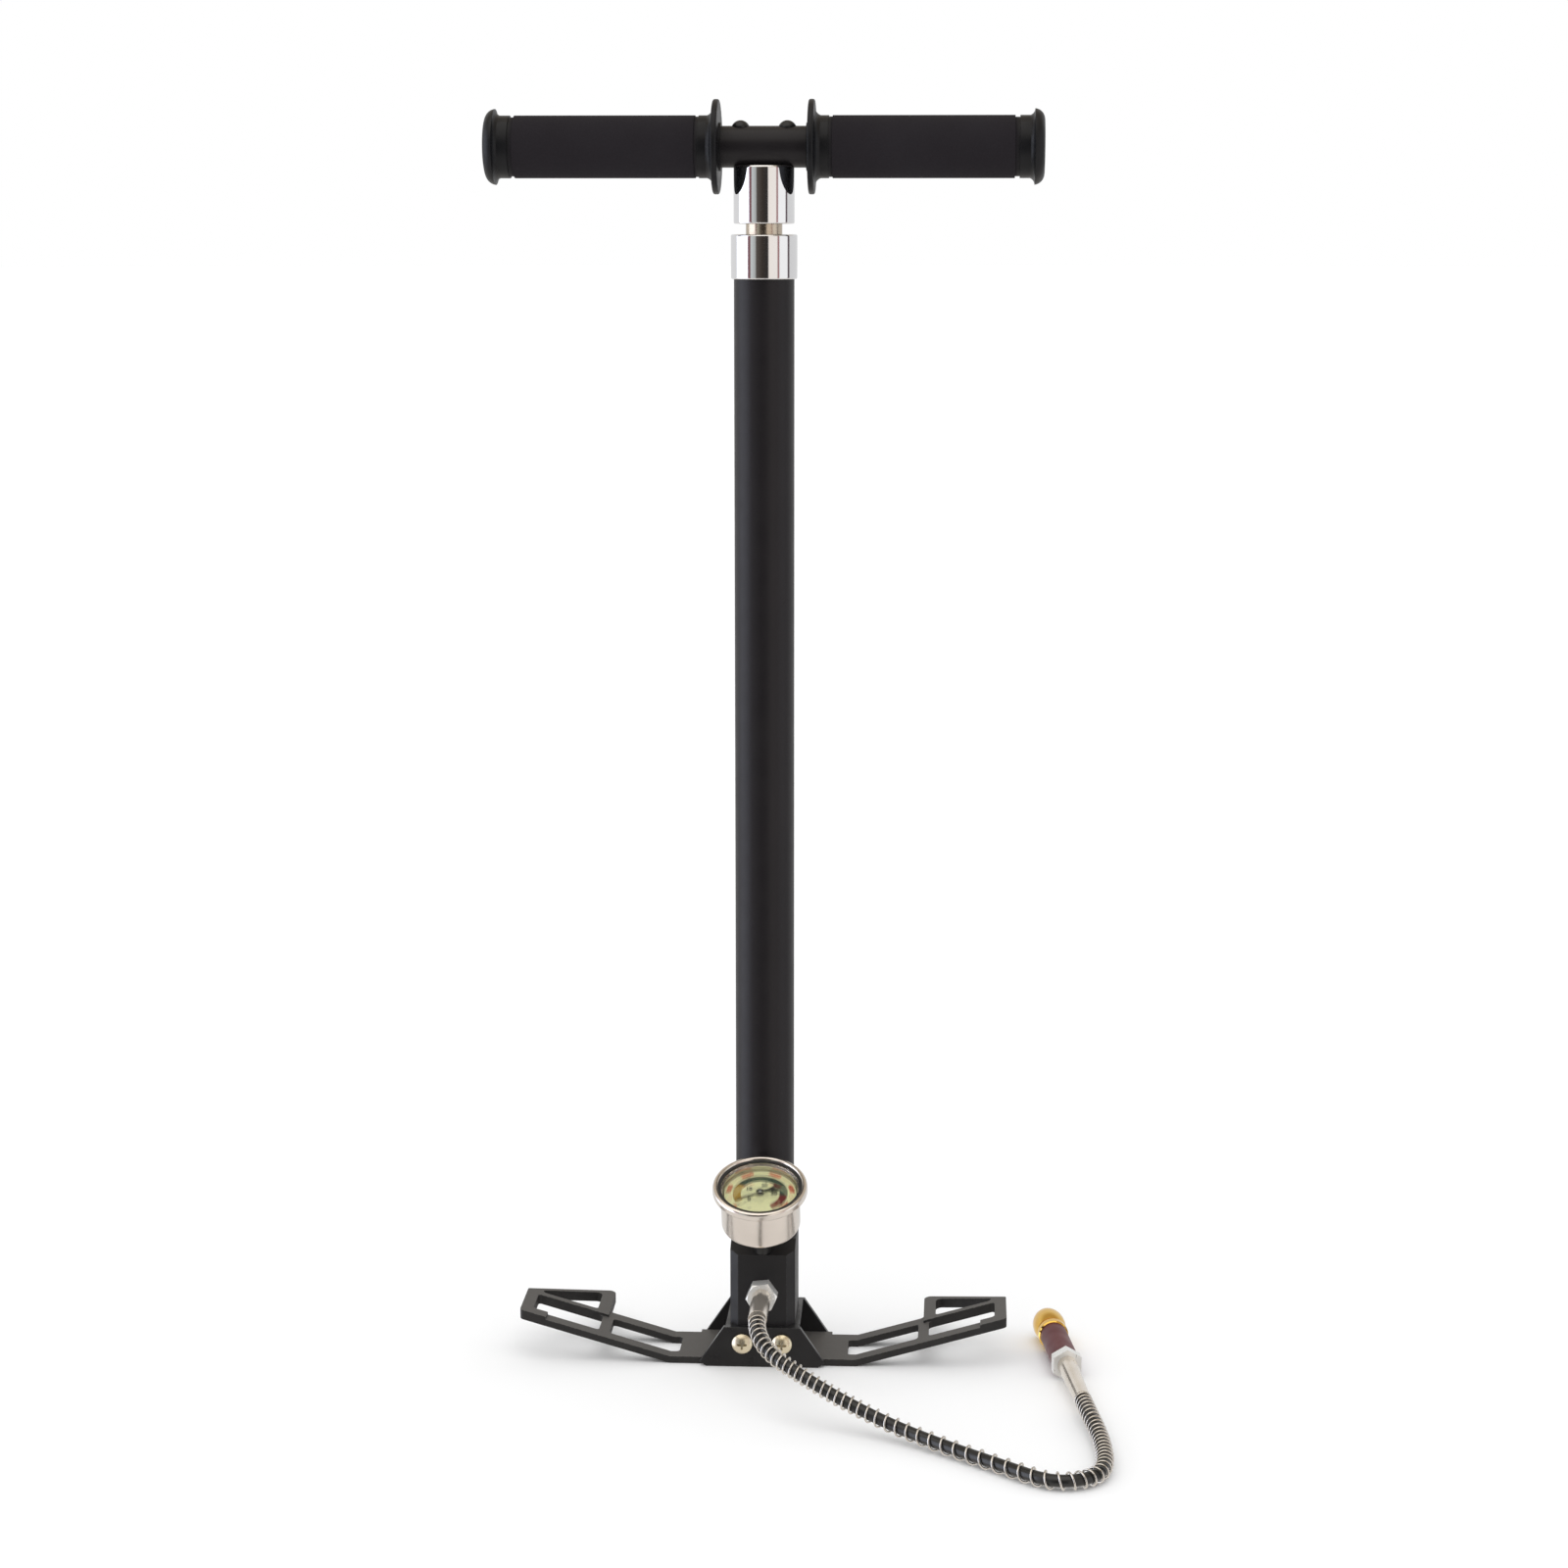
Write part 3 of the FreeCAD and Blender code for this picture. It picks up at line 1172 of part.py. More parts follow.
def put_lock_item(item, angle, radius):
    """Places an item on a spoke of the coupler at the lock balls' station."""
    spoke = Rotation(Vector(0, 0, 1), angle) * TO_RIGHT
    local = Rotation(Vector(0, 0, 1), angle).multVec(Vector(as_dim(radius).number, 0, 0))
    local.z = SIZES["lock_ball_place"]
    return put_from_coupler(item, local, COUPLER_TURN * spoke)


def put_seal_item(item):
    return put_from_coupler(item, Vector(0, 0, SIZES["probe_seal_place"]), COUPLER_TURN)


def put_from_coupler(item, local, rotation):
    """Places an item at a point given in the coupler's own axes."""
    shift = COUPLER_TURN.multVec(local)
    x, y, z = sizes("coupler_x", "coupler_y", "coupler_z")
    return put(item, x + shift.x, -y + shift.y, z + shift.z, rotation)


def make_coupling_balls():
    balls = []
    for angle in lock_ball_angles():
        ball = DOC.addObject("Part::Sphere", "lock_ball_%d" % len(balls))
        bind(ball, "Radius", size("lock_ball_radius"))
        balls.append(put_lock_item(ball, angle, size("lock_ball_mid")))
    return group("coupling_balls", balls)


def make_coupling_seal():
    return put_seal_item(o_ring("coupling_seal", *sizes("probe_seal_mid", "probe_seal_wire")))


def make_coupling_sleeve():
    radius, bore, start, end = sizes("sleeve_radius", "core_radius", "coupler_hex_end", "sleeve_end")
    body = pipe("coupling_sleeve", radius, bore, start, end)
    soften(body, "Chamfer", size("sleeve_edge"), any_of(ring(radius, start), ring(radius, end)))
    return put_on_coupler(body)


def make_coupling_collar():
    """The brass locking collar: a thin ring, a groove and a rounded grip ring."""
    start, end, bore, chamber, shoulder = sizes(
        "sleeve_end", "collar_end", "collar_bore", "collar_chamber", "collar_shoulder")
    ring_radius, ring_end, groove, groove_end = sizes(
        "collar_ring", "collar_ring_end", "collar_groove", "collar_groove_end")
    grip, rounding, length = sizes("collar_grip", "collar_rounding", "collar_rounded")
    gap, edge, bulge = size("collar_gap"), size("collar_edge"), SIZES["collar_bulge"]
    return put_on_coupler(turned("coupling_collar", [
        (bore, start + gap), (ring_radius - edge, start + gap), (ring_radius, start + gap + edge),
        (ring_radius, ring_end), (groove, ring_end), (groove, groove_end),
        (grip - rounding, groove_end, bulge), (grip, groove_end + length),
        (grip, end - length, bulge), (grip - rounding, end), (chamber, end),
        (chamber, shoulder), (bore, shoulder)]))


def make_coupling_clip():
    """The ring on the core's nose that the collar's spring pushes against."""
    return put_on_coupler(pipe("coupling_clip", *sizes(
        "clip_radius", "core_radius", "clip_foot", "clip_top")))


def make_coupling_spring():
    foot = SIZES["ring_spring_foot"]
    wire = SIZES["ring_spring_wire"]
    length = SIZES["clip_foot"] - foot
    spring = coil(SIZES["ring_spring_mid"], wire, SIZES["ring_spring_turns"], length)
    item = from_shape("coupling_spring", spring)
    return put_from_coupler(item, Vector(0, 0, foot + wire), COUPLER_TURN)


# --- the whole pump -------------------------------------------------------------------

def make_pump():
    right_foot = make_right_foot()
    return [
        make_outer_tube(), make_cylinder_cap(), make_rod_bush(), make_wiper_seal(),
        make_tube_seal(), make_bump_stop(),
        make_piston_head(), make_piston_ring(), make_piston_rod(), make_inner_tube(),
        make_inner_head(), make_inner_ring(), make_third_stage_rod(), make_third_stage_ring(),
        make_handle_boss(), make_crossbar(), make_grip("left_grip", TO_LEFT),
        make_grip("right_grip", TO_RIGHT), make_handle_screws(),
        make_base_block(), make_valve_plug(), make_valve_spring(), make_valve_ball(),
        make_hinge_bracket(), make_bracket_screws(), make_hinge_screws(), make_hinge_nuts(),
        right_foot, mirrored("left_foot", right_foot),
        make_gauge_case(), make_gauge_lens(), make_gauge_gasket(), make_gauge_dial(),
        make_gauge_stem(), make_gauge_movement(), make_bourdon_tube(), make_gauge_spindle(),
        make_gauge_pointer(),
        make_bleed_pin(), make_bleed_screw(), make_bleed_seal(),
        make_hose_fitting(), make_ferrule_base(), make_hose(), make_spring_guard(),
        make_ferrule_end(), make_coupling_nut(), make_coupling_core(), make_coupling_balls(),
        make_coupling_seal(), make_coupling_sleeve(), make_coupling_collar(),
        make_coupling_clip(), make_coupling_spring(),
    ]


def check_document(pieces):
    """Stops if any object failed or any sub-part has no sound shape."""
    for item in DOC.Objects:
        if "Invalid" in item.State or "Error" in item.State:
            raise RuntimeError("%s is %s" % (item.Label, item.State))
    for piece in pieces:
        if piece.Shape.isNull() or not piece.Shape.isValid():
            raise RuntimeError("%s has no valid shape" % piece.Label)
        if not piece.Shape.Solids:
            raise RuntimeError("%s has no solid" % piece.Label)


def write_pieces(pieces):
    os.makedirs("parts", exist_ok=True)
    for piece in pieces:
        piece.Shape.exportStep("parts/%s.step" % piece.Label)


make_sheet()
PIECES = make_pump()
DOC.recompute()
check_document(PIECES)
write_pieces(PIECES)
print("%d sub-parts written" % len(PIECES))
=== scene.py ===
"""Looks of the hand air pump: hose and guard coil, dial print, materials, light and camera."""
import json
import math

import bpy
from mathutils import Matrix, Quaternion, Vector


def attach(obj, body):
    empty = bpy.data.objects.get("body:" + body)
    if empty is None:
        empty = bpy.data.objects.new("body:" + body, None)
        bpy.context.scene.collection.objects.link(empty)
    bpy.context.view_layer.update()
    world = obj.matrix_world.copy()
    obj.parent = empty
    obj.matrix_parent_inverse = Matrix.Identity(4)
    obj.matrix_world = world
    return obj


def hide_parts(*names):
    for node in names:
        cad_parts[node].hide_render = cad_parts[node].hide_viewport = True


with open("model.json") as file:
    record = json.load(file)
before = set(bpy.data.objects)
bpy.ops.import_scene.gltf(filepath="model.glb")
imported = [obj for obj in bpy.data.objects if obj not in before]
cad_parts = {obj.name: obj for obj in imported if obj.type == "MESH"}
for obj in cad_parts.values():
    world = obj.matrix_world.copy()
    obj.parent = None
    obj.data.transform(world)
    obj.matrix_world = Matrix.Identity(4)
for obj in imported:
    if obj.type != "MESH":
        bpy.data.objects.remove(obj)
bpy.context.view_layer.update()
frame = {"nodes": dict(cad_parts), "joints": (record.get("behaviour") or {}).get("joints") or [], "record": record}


def joint(name):
    return next(item for item in frame["joints"] if item["name"] == name)


AXIS_Y = joint("handle_swivel")["pos_m"][1]      # the barrel's axis
MM = 0.001

# --- camera ---------------------------------------------------------------------------

CAMERA_DISTANCE = 1.632
CAMERA_HEIGHT = 0.5902
CAMERA_AZIMUTH = math.radians(3.5)
CAMERA_HEADING = math.radians(3.156)
CAMERA_DIP = math.radians(10.0845)
LENS = 74.99


def make_camera():
    data = bpy.data.cameras.new("camera")
    data.lens = LENS
    data.sensor_width = 36.0
    data.clip_end = 100.0
    camera = bpy.data.objects.new("camera", data)
    camera.location = (
        CAMERA_DISTANCE * math.sin(CAMERA_AZIMUTH),
        AXIS_Y - CAMERA_DISTANCE * math.cos(CAMERA_AZIMUTH),
        CAMERA_HEIGHT)
    camera.rotation_euler = (math.pi / 2 - CAMERA_DIP, 0.0, CAMERA_HEADING)
    bpy.context.scene.collection.objects.link(camera)
    bpy.context.scene.camera = camera


make_camera()

# --- materials ------------------------------------------------------------------------

EDGE_FACING = 0.88         # how far a rounded normal has turned where an edge counts as one


class Surface:
    """One procedural material, built node by node on a Principled shader."""

    def __init__(self, name, metallic=0.0, **constants):
        self.material = bpy.data.materials.new(name)
        self.material.use_nodes = True
        self.nodes = self.material.node_tree.nodes
        self.shader = self.nodes["Principled BSDF"]
        self.place = self.node("TexCoord").outputs["Object"]
        self.shader.inputs["Metallic"].default_value = metallic
        for socket, value in constants.items():
            self.shader.inputs[socket.replace("_", " ")].default_value = value

    def feed(self, socket, value):
        if isinstance(value, bpy.types.NodeSocket):
            self.material.node_tree.links.new(value, socket)
        else:
            socket.default_value = value

    def node(self, kind, inputs=(), **settings):
        made = self.nodes.new("ShaderNode" + kind)
        for name, value in settings.items():
            setattr(made, name, value)
        for key, value in dict(inputs).items():
            self.feed(made.inputs[key], value)
        return made

    def noise(self, scale, stretch=(1, 1, 1), detail=2.0, place=None):
        spot = self.node("Mapping", {"Vector": place or self.place, "Scale": stretch})
        pattern = self.node(
            "TexNoise", {"Vector": spot.outputs[0], "Scale": scale, "Detail": detail})
        return pattern.outputs[0]

    def spread(self, value, low, high, start=0.3, end=0.7):
        """Stretches a noise's middle range over low to high."""
        mapped = self.node("MapRange", {
            "Value": value, "From Min": start, "From Max": end, "To Min": low, "To Max": high})
        return mapped.outputs[0]

    def mix(self, factor, first, second):
        made = self.node("Mix", {0: factor, 6: first, 7: second}, data_type="RGBA")
        return made.outputs[2]

    def calc(self, operation, first, second=0.0):
        return self.node("Math", {0: first, 1: second}, operation=operation).outputs[0]

    def relief(self, height, distance, normal=None):
        inputs = {"Height": height, "Distance": distance, "Strength": 1.0}
        if normal is not None:
            inputs["Normal"] = normal
        return self.node("Bump", inputs).outputs[0]

    def rounded(self, radius):
        """Normals of softly rounded edges."""
        return self.node("Bevel", {"Radius": radius}, samples=4).outputs[0]

    def edges(self, radius):
        """1 on the edges, 0 on the faces."""
        true = self.node("NewGeometry").outputs["Normal"]
        facing = self.node(
            "VectorMath", {0: self.rounded(radius), 1: true}, operation="DOT_PRODUCT")
        return self.spread(facing.outputs["Value"], 1.0, 0.0, EDGE_FACING, 1.0)

    def set(self, socket, value):
        self.feed(self.shader.inputs[socket], value)


def tone(red, green=None, blue=None):
    green = red if green is None else green
    blue = red if blue is None else blue
    return (red, green, blue, 1.0)


def finish(name, tones, gloss, metallic=0.0, patch=30, smear=120, grain=2500, depth=0.00001,
           stretch=(1, 1, 1), edge=0.00025, wear=None, **constants):
    """Two close tones in soft patches, an uneven gloss, a fine relief and worn edges."""
    surface = Surface(name, metallic, **constants)
    patches = surface.spread(surface.noise(patch), 0.0, 1.0)
    colour = surface.mix(patches, tones[0], tones[1])
    normal = surface.rounded(edge) if edge else None
    if wear:
        scuffs = surface.spread(surface.noise(900, detail=4.0), 0.0, 1.0, 0.42, 0.62)
        mask = surface.calc("MULTIPLY", surface.edges(edge * 1.5), scuffs)
        colour = surface.mix(surface.calc("MULTIPLY", mask, wear[1]), colour, wear[0])
    surface.set("Base Color", colour)
    shine = surface.noise(smear, stretch)
    surface.set("Roughness", surface.spread(shine, gloss[0], gloss[1]))
    height = surface.noise(grain, stretch, detail=3.0)
    surface.set("Normal", surface.relief(height, depth, normal))
    return surface


ROUND_Z = (1, 1, 40)       # turned marks run round parts that stand along Z
ROUND_Y = (1, 40, 1)


def gauge_marks(name, tones, gloss, depth):
    """Brushed stainless whose marks run round the gauge's own axis."""
    surface = Surface(name, 1.0)
    start = surface.node("VectorMath", {0: surface.place, 1: GAUGE_FOOT}, operation="SUBTRACT")
    along = surface.node(
        "VectorMath", {0: start.outputs[0], 1: GAUGE_NORMAL}, operation="DOT_PRODUCT")
    lift = surface.node("VectorMath", {0: GAUGE_NORMAL}, operation="SCALE")
    surface.feed(lift.inputs["Scale"], along.outputs["Value"])
    across = surface.node(
        "VectorMath", {0: start.outputs[0], 1: lift.outputs[0]}, operation="SUBTRACT")
    reach = surface.node("VectorMath", {0: across.outputs[0]}, operation="LENGTH")
    spot = surface.node("CombineXYZ", {0: along.outputs["Value"], 1: reach.outputs["Value"]})
    lines = surface.noise(2600, detail=4.0, place=spot.outputs[0])
    broad = surface.noise(260, detail=2.0, place=spot.outputs[0])
    blotch = surface.noise(55)
    surface.set("Base Color", surface.mix(
        surface.spread(blotch, 0.0, 1.0), tones[0], tones[1]))
    surface.set("Roughness", surface.spread(broad, gloss[0], gloss[1]))
    surface.set("Normal", surface.relief(lines, depth, surface.rounded(0.0003)))
    return surface


def grip_rubber():
    """Matt, finely pitted rubber; the flared ends of each grip are smoother and shinier."""
    surface = Surface("grip_rubber", Specular_IOR_Level=0.24)
    reach = surface.calc("ABSOLUTE", surface.node(
        "SeparateXYZ", {0: surface.place}).outputs["X"])
    inner = surface.spread(reach, 0.0, 1.0, 0.0318, 0.0340)
    outer = surface.spread(reach, 1.0, 0.0, 0.1225, 0.1256)
    sleeve = surface.calc("MULTIPLY", inner, outer)
    pits = surface.noise(2200, detail=3.0)
    bloom = surface.spread(surface.noise(35, detail=3.0), 0.0, 1.0)
    dull = surface.mix(bloom, tone(0.0125, 0.0100, 0.0130), tone(0.0150, 0.0125, 0.0158))
    surface.set("Base Color", surface.mix(sleeve, tone(0.0062, 0.0064, 0.0080), dull))
    polish = surface.spread(surface.noise(160), 0.34, 0.46)
    matt = surface.spread(pits, 0.82, 0.95)
    surface.set("Roughness", surface.node("Mix", {0: sleeve, 2: polish, 3: matt}).outputs[0])
    depth = surface.calc("MULTIPLY", sleeve, 0.00006)
    height = surface.calc("MULTIPLY", pits, surface.calc("ADD", depth, 0.000006))
    surface.set("Normal", surface.relief(height, 1.0, surface.rounded(0.0003)))
    return surface


def cast_foot():
    """Dark coated casting: coarse skin, a lighter tone painted on what faces up as light from above, bare metal at
    some edges.
    """
    surface = Surface("foot_cast", 0.15, Specular_IOR_Level=0.4)
    skin = surface.noise(900, detail=6.0)
    waves = surface.noise(120, detail=3.0)
    up = surface.node("SeparateXYZ", {0: surface.node("NewGeometry").outputs["Normal"]})
    # Painted light: what faces up gets a lighter tone and the sides a darker one, standing in for the light from
    # above and the shade on the sides; the skin and wave noise in each is real grain.
    lit_from_above = surface.spread(up.outputs["Z"], 0.0, 1.0, 0.55, 0.98)
    shaded_side_tone = surface.mix(surface.spread(waves, 0, 1), tone(0.019, 0.018, 0.018),
                       tone(0.027, 0.026, 0.025))
    lit_top_tone = surface.mix(surface.spread(skin, 0, 1), tone(0.085, 0.080, 0.075),
                        tone(0.115, 0.110, 0.104))
    colour = surface.mix(lit_from_above, shaded_side_tone, lit_top_tone)
    rub = surface.calc("MULTIPLY", surface.edges(0.0006), surface.spread(skin, 0, 0.55, 0.45, 0.6))
    surface.set("Base Color", surface.mix(rub, colour, tone(0.24, 0.235, 0.225)))
    surface.set("Roughness", surface.spread(skin, 0.52, 0.68))
    height = surface.calc("ADD", skin, surface.calc("MULTIPLY", waves, 2.0))
    surface.set("Normal", surface.relief(height, 0.00008, surface.rounded(0.0006)))
    return surface


def clear_glass():
    surface = Surface("gauge_glass", Transmission_Weight=1.0, IOR=1.25, Alpha=0.35)
    surface.set("Base Color", surface.mix(
        surface.noise(40), tone(0.97, 0.985, 0.975), tone(1.0)))
    surface.set("Roughness", surface.spread(surface.noise(300), 0.0, 0.015))
    return surface


def ink(name, colour, darker, rough=0.45):
    """Printed ink: a little uneven in tone, with the screen's fine grain."""
    surface = Surface(name)
    surface.set("Base Color", surface.mix(
        surface.spread(surface.noise(600, detail=3.0), 0, 1), colour, darker))
    surface.set("Roughness", surface.spread(surface.noise(1500), rough - 0.06, rough + 0.06))
    surface.set("Normal", surface.relief(surface.noise(5000), 0.000004))
    return surface


GAUGE_FOOT = Vector(joint("pointer_sweep")["pos_m"])
GAUGE_NORMAL = -Vector(joint("pointer_sweep")["axis"]).normalized()

SURFACES = {
    "barrel_paint": finish(
        "barrel_paint", (tone(0.0105, 0.0088, 0.0105), tone(0.0125, 0.0104, 0.0122)),
        (0.36, 0.42), grain=1800, depth=0.00002, wear=(tone(0.05), 0.4),
        Specular_IOR_Level=0.26),
    "chrome": finish(
        "chrome", (tone(0.86, 0.86, 0.87), tone(0.82, 0.82, 0.83)), (0.035, 0.075), 1.0,
        grain=900, depth=0.0000015, stretch=ROUND_Z, edge=0.0004),
    "bronze": finish(
        "bronze", (tone(0.62, 0.40, 0.18), tone(0.52, 0.33, 0.15)), (0.22, 0.38), 1.0,
        stretch=ROUND_Z, depth=0.000006),
    "seal_rubber": finish(
        "seal_rubber", (tone(0.014), tone(0.020)), (0.45, 0.6), grain=3000, depth=0.000015),
    "piston_alloy": finish(
        "piston_alloy", (tone(0.62, 0.62, 0.64), tone(0.55, 0.55, 0.57)), (0.2, 0.34), 1.0,
        stretch=ROUND_Z, depth=0.000008),
    "rod_steel": finish(
        "rod_steel", (tone(0.60, 0.52, 0.42), tone(0.52, 0.44, 0.34)), (0.16, 0.30), 1.0,
        stretch=ROUND_Z, smear=90, grain=1200, depth=0.000004),
    "bright_steel": finish(
        "bright_steel", (tone(0.92, 0.92, 0.90), tone(0.86, 0.86, 0.84)), (0.20, 0.28), 0.5,
        smear=300, depth=0.000003, edge=0.0002),
    "grip_rubber": grip_rubber(),
    "screw_black": finish(
        "screw_black", (tone(0.013), tone(0.022)), (0.3, 0.46), 0.3, depth=0.00001,
        wear=(tone(0.2), 0.4)),
    "block_black": finish(
        "block_black", (tone(0.0125, 0.0120, 0.0135), tone(0.0160, 0.0155, 0.0170)),
        (0.44, 0.54), 0.2, grain=2600, depth=0.000018, edge=0.0005, wear=(tone(0.10), 0.5)),
    "bracket_black": finish(
        "bracket_black", (tone(0.0130, 0.0125, 0.0130), tone(0.0165, 0.0160, 0.0165)),
        (0.26, 0.40), grain=1400, depth=0.000025, edge=0.0005, wear=(tone(0.12), 0.5)),
    "screw_zinc": finish(
        "screw_zinc", (tone(0.80, 0.72, 0.52), tone(0.72, 0.65, 0.50)), (0.22, 0.32), 1.0,
        patch=90, smear=300, depth=0.000003, edge=0.0002),
    "foot_cast": cast_foot(),
    "case_steel": gauge_marks(
        "case_steel", tones=(tone(0.84, 0.79, 0.74), tone(0.78, 0.73, 0.68)),
        gloss=(0.20, 0.25), depth=0.0000004),
    "gauge_glass": clear_glass(),
    "dial_print": ink("dial_print", tone(0.86, 0.88, 0.50), tone(0.80, 0.82, 0.46), 0.5),
    "stem_brass": finish(
        "stem_brass", (tone(0.66, 0.60, 0.48), tone(0.56, 0.50, 0.40)), (0.2, 0.34), 1.0,
        patch=90, depth=0.00001),
    "pointer_black": ink("pointer_black", tone(0.006), tone(0.010), 0.5),
    "ferrule_steel": finish(
        "ferrule_steel", (tone(0.84, 0.77, 0.68), tone(0.76, 0.69, 0.60)), (0.11, 0.18), 0.78,
        patch=70, smear=220, grain=1500, depth=0.000006, stretch=ROUND_Y, edge=0.0004),
    "hose_rubber": finish(
        "hose_rubber", (tone(0.010), tone(0.016)), (0.2, 0.32), grain=1600, depth=0.00001,
        edge=None),
    "guard_wire": finish(
        "guard_wire", (tone(0.76, 0.73, 0.69), tone(0.64, 0.61, 0.56)), (0.14, 0.26), 1.0,
        patch=200, smear=500, grain=4000, depth=0.000006, edge=None),
    "coupler_nickel": finish(
        "coupler_nickel", (tone(0.88, 0.88, 0.86), tone(0.80, 0.80, 0.78)), (0.26, 0.36), 0.6,
        patch=80, stretch=ROUND_Y, depth=0.000006, edge=0.0005),
    "sleeve_maroon": finish(
        "sleeve_maroon", (tone(0.150, 0.035, 0.040), tone(0.120, 0.028, 0.034)),
        (0.36, 0.48), 0.55, grain=2400, depth=0.00002, edge=0.0004,
        wear=(tone(0.45, 0.36, 0.34), 0.5)),
    "collar_gold": finish(
        "collar_gold", (tone(0.92, 0.60, 0.14), tone(0.84, 0.50, 0.10)), (0.06, 0.12), 1.0,
        patch=120, stretch=ROUND_Y, depth=0.000006, edge=0.0003),
    "print_black": ink("print_black", tone(0.010), tone(0.018)),
    "print_orange": ink("print_orange", tone(0.72, 0.09, 0.03), tone(0.62, 0.07, 0.025)),
    "print_yellow": ink("print_yellow", tone(0.40, 0.24, 0.004), tone(0.34, 0.20, 0.003)),
    "print_green": ink("print_green", tone(0.002, 0.050, 0.032), tone(0.0015, 0.040, 0.026)),
    "print_red": ink("print_red", tone(0.20, 0.004, 0.006), tone(0.16, 0.003, 0.005)),
}


def paint(item, slot):
    item.data.materials.clear()
    item.data.materials.append(SURFACES[slot].material)


def paint_cad_nodes():
    for part in frame["record"]["subparts"]:
        item = frame["nodes"][part["node"]]
        for place in item.material_slots:
            place.material = SURFACES[part["material_slot"]].material


def add_piece(name, mesh, slot, body, smooth_angle=None):
    """A new piece of mesh, painted, riding on its body."""
    piece = bpy.data.objects.new(name, mesh)
    bpy.context.scene.collection.objects.link(piece)
    paint(piece, slot)
    if smooth_angle is not None:
        piece.data.shade_smooth()
        piece.data.set_sharp_from_angle(angle=math.radians(smooth_angle))
    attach(piece, body)
    return piece


# --- hose and its guard ---------------------------------------------------------------

HOSE_RADIUS = 3.0 * MM
HOSE_ROUTE = [
    (0.0, -0.0653, 0.0385),
    (0.0003, -0.0815, 0.0383),
    (0.008, -0.0995, 0.033),
    (0.0255, -0.109, 0.025),
    (0.045, -0.116, 0.0158),
    (0.070, -0.127, 0.0076),
    (0.095, -0.144, 0.00465),
    (0.1235, -0.168, 0.0046),
    (0.1407, -0.1829, 0.0046),
    (0.1522, -0.1848, 0.0046),
    (0.1628, -0.180, 0.0046),
    (0.1694, -0.1704, 0.0046),
    (0.171, -0.151, 0.0046),
    (0.1692, -0.126, 0.0054),
    (0.1645, -0.1036, 0.00845),
    (0.1624, -0.0873, 0.00845),
]


def make_hose():
    data = bpy.data.curves.new("hose_tube", "CURVE")
    data.dimensions = "3D"
    data.resolution_u = 24
    data.bevel_depth = HOSE_RADIUS
    data.bevel_resolution = 8
    data.use_fill_caps = True
    spline = data.splines.new("NURBS")
    spline.points.add(len(HOSE_ROUTE) - 1)
    for point, (x, y, z) in zip(spline.points, HOSE_ROUTE):
        point.co = (x, y + AXIS_Y, z, 1.0)
    spline.order_u = 3
    spline.use_endpoint_u = True
    hose = bpy.data.objects.new("hose_tube", data)
    bpy.context.scene.collection.objects.link(hose)
    return hose


def hose_line(hose):
    """The points of the hose's own spline, as Blender gives them."""
    data = hose.data.copy()
    data.bevel_depth = 0.0
    probe = bpy.data.objects.new("hose_probe", data)
    mesh = bpy.data.meshes.new_from_object(probe)
    line = [vertex.co.copy() for vertex in mesh.vertices]
    bpy.data.objects.remove(probe)
    bpy.data.curves.remove(data)
    bpy.data.meshes.remove(mesh)
    return line


class Track:
    """A line with its length, and a frame that follows it without twisting."""

    def __init__(self, line):
        self.line = line
        self.marks = [0.0]
        for before, after in zip(line, line[1:]):
            self.marks.append(self.marks[-1] + (after - before).length)
        self.length = self.marks[-1]
        self.sides = []
        heading = self.heading(0)
        side = heading.cross(Vector((0, 0, 1))).normalized()
        for number in range(len(line)):
            turned = heading.rotation_difference(self.heading(number))
            side = (turned @ side).normalized()
            heading = self.heading(number)
            self.sides.append(side)

    def heading(self, number):
        before = self.line[max(number - 1, 0)]
        after = self.line[min(number + 1, len(self.line) - 1)]
        return (after - before).normalized()

    def at(self, distance):
        """(place, heading, side) at a distance along the line."""
        number = 0
        while number < len(self.marks) - 2 and self.marks[number + 1] < distance:
            number += 1
        span = self.marks[number + 1] - self.marks[number]
        share = min(max((distance - self.marks[number]) / span, 0.0), 1.0)
        place = self.line[number].lerp(self.line[number + 1], share)
        heading = self.heading(number).lerp(self.heading(number + 1), share).normalized()
        side = self.sides[number].lerp(self.sides[number + 1], share)
        side = (side - heading * side.dot(heading)).normalized()
        return place, heading, side


def tube_mesh(name, centres, radius, corners):
    """A closed round wire along a list of centres."""
    track = Track(centres)
    points, faces = [], []
    for number, centre in enumerate(centres):
        heading, side = track.heading(number), track.sides[number]
        for corner in range(corners):
            turn = Quaternion(heading, math.tau * corner / corners)
            points.append(centre + turn @ side * radius)
    for number in range(len(centres) - 1):
        for corner in range(corners):
            first = number * corners + corner
            second = number * corners + (corner + 1) % corners
            faces.append((first, second, second + corners, first + corners))
    faces.append(tuple(reversed(range(corners))))
    faces.append(tuple(range(len(points) - corners, len(points))))
    mesh = bpy.data.meshes.new(name)
    mesh.from_pydata(points, [], faces)
    return mesh


# The coil's pitch in mm at distances in mm along the hose: it is closed up on the sag
# by the pump and from the turn to the far ferrule, and stretched on the run between.
COIL_PITCH = [(0, 5.4), (15, 4.8), (30, 3.8), (45, 3.4), (70, 3.9), (85, 4.3), (95, 5.2),
              (115, 6.5), (130, 7.2), (150, 8.0), (180, 8.1), (203, 6.0), (212, 5.1),
              (222, 4.6), (235, 4.5), (250, 4.0), (330, 3.9)]
COIL_RADIUS = 3.95 * MM
WIRE_RADIUS = 0.52 * MM
COIL_STEPS = 24


def coil_pitch(distance):
    spot = distance / MM
    for (start, first), (end, second) in zip(COIL_PITCH, COIL_PITCH[1:]):
        if spot <= end:
            return (first + (second - first) * (spot - start) / (end - start)) * MM
    return COIL_PITCH[-1][1] * MM


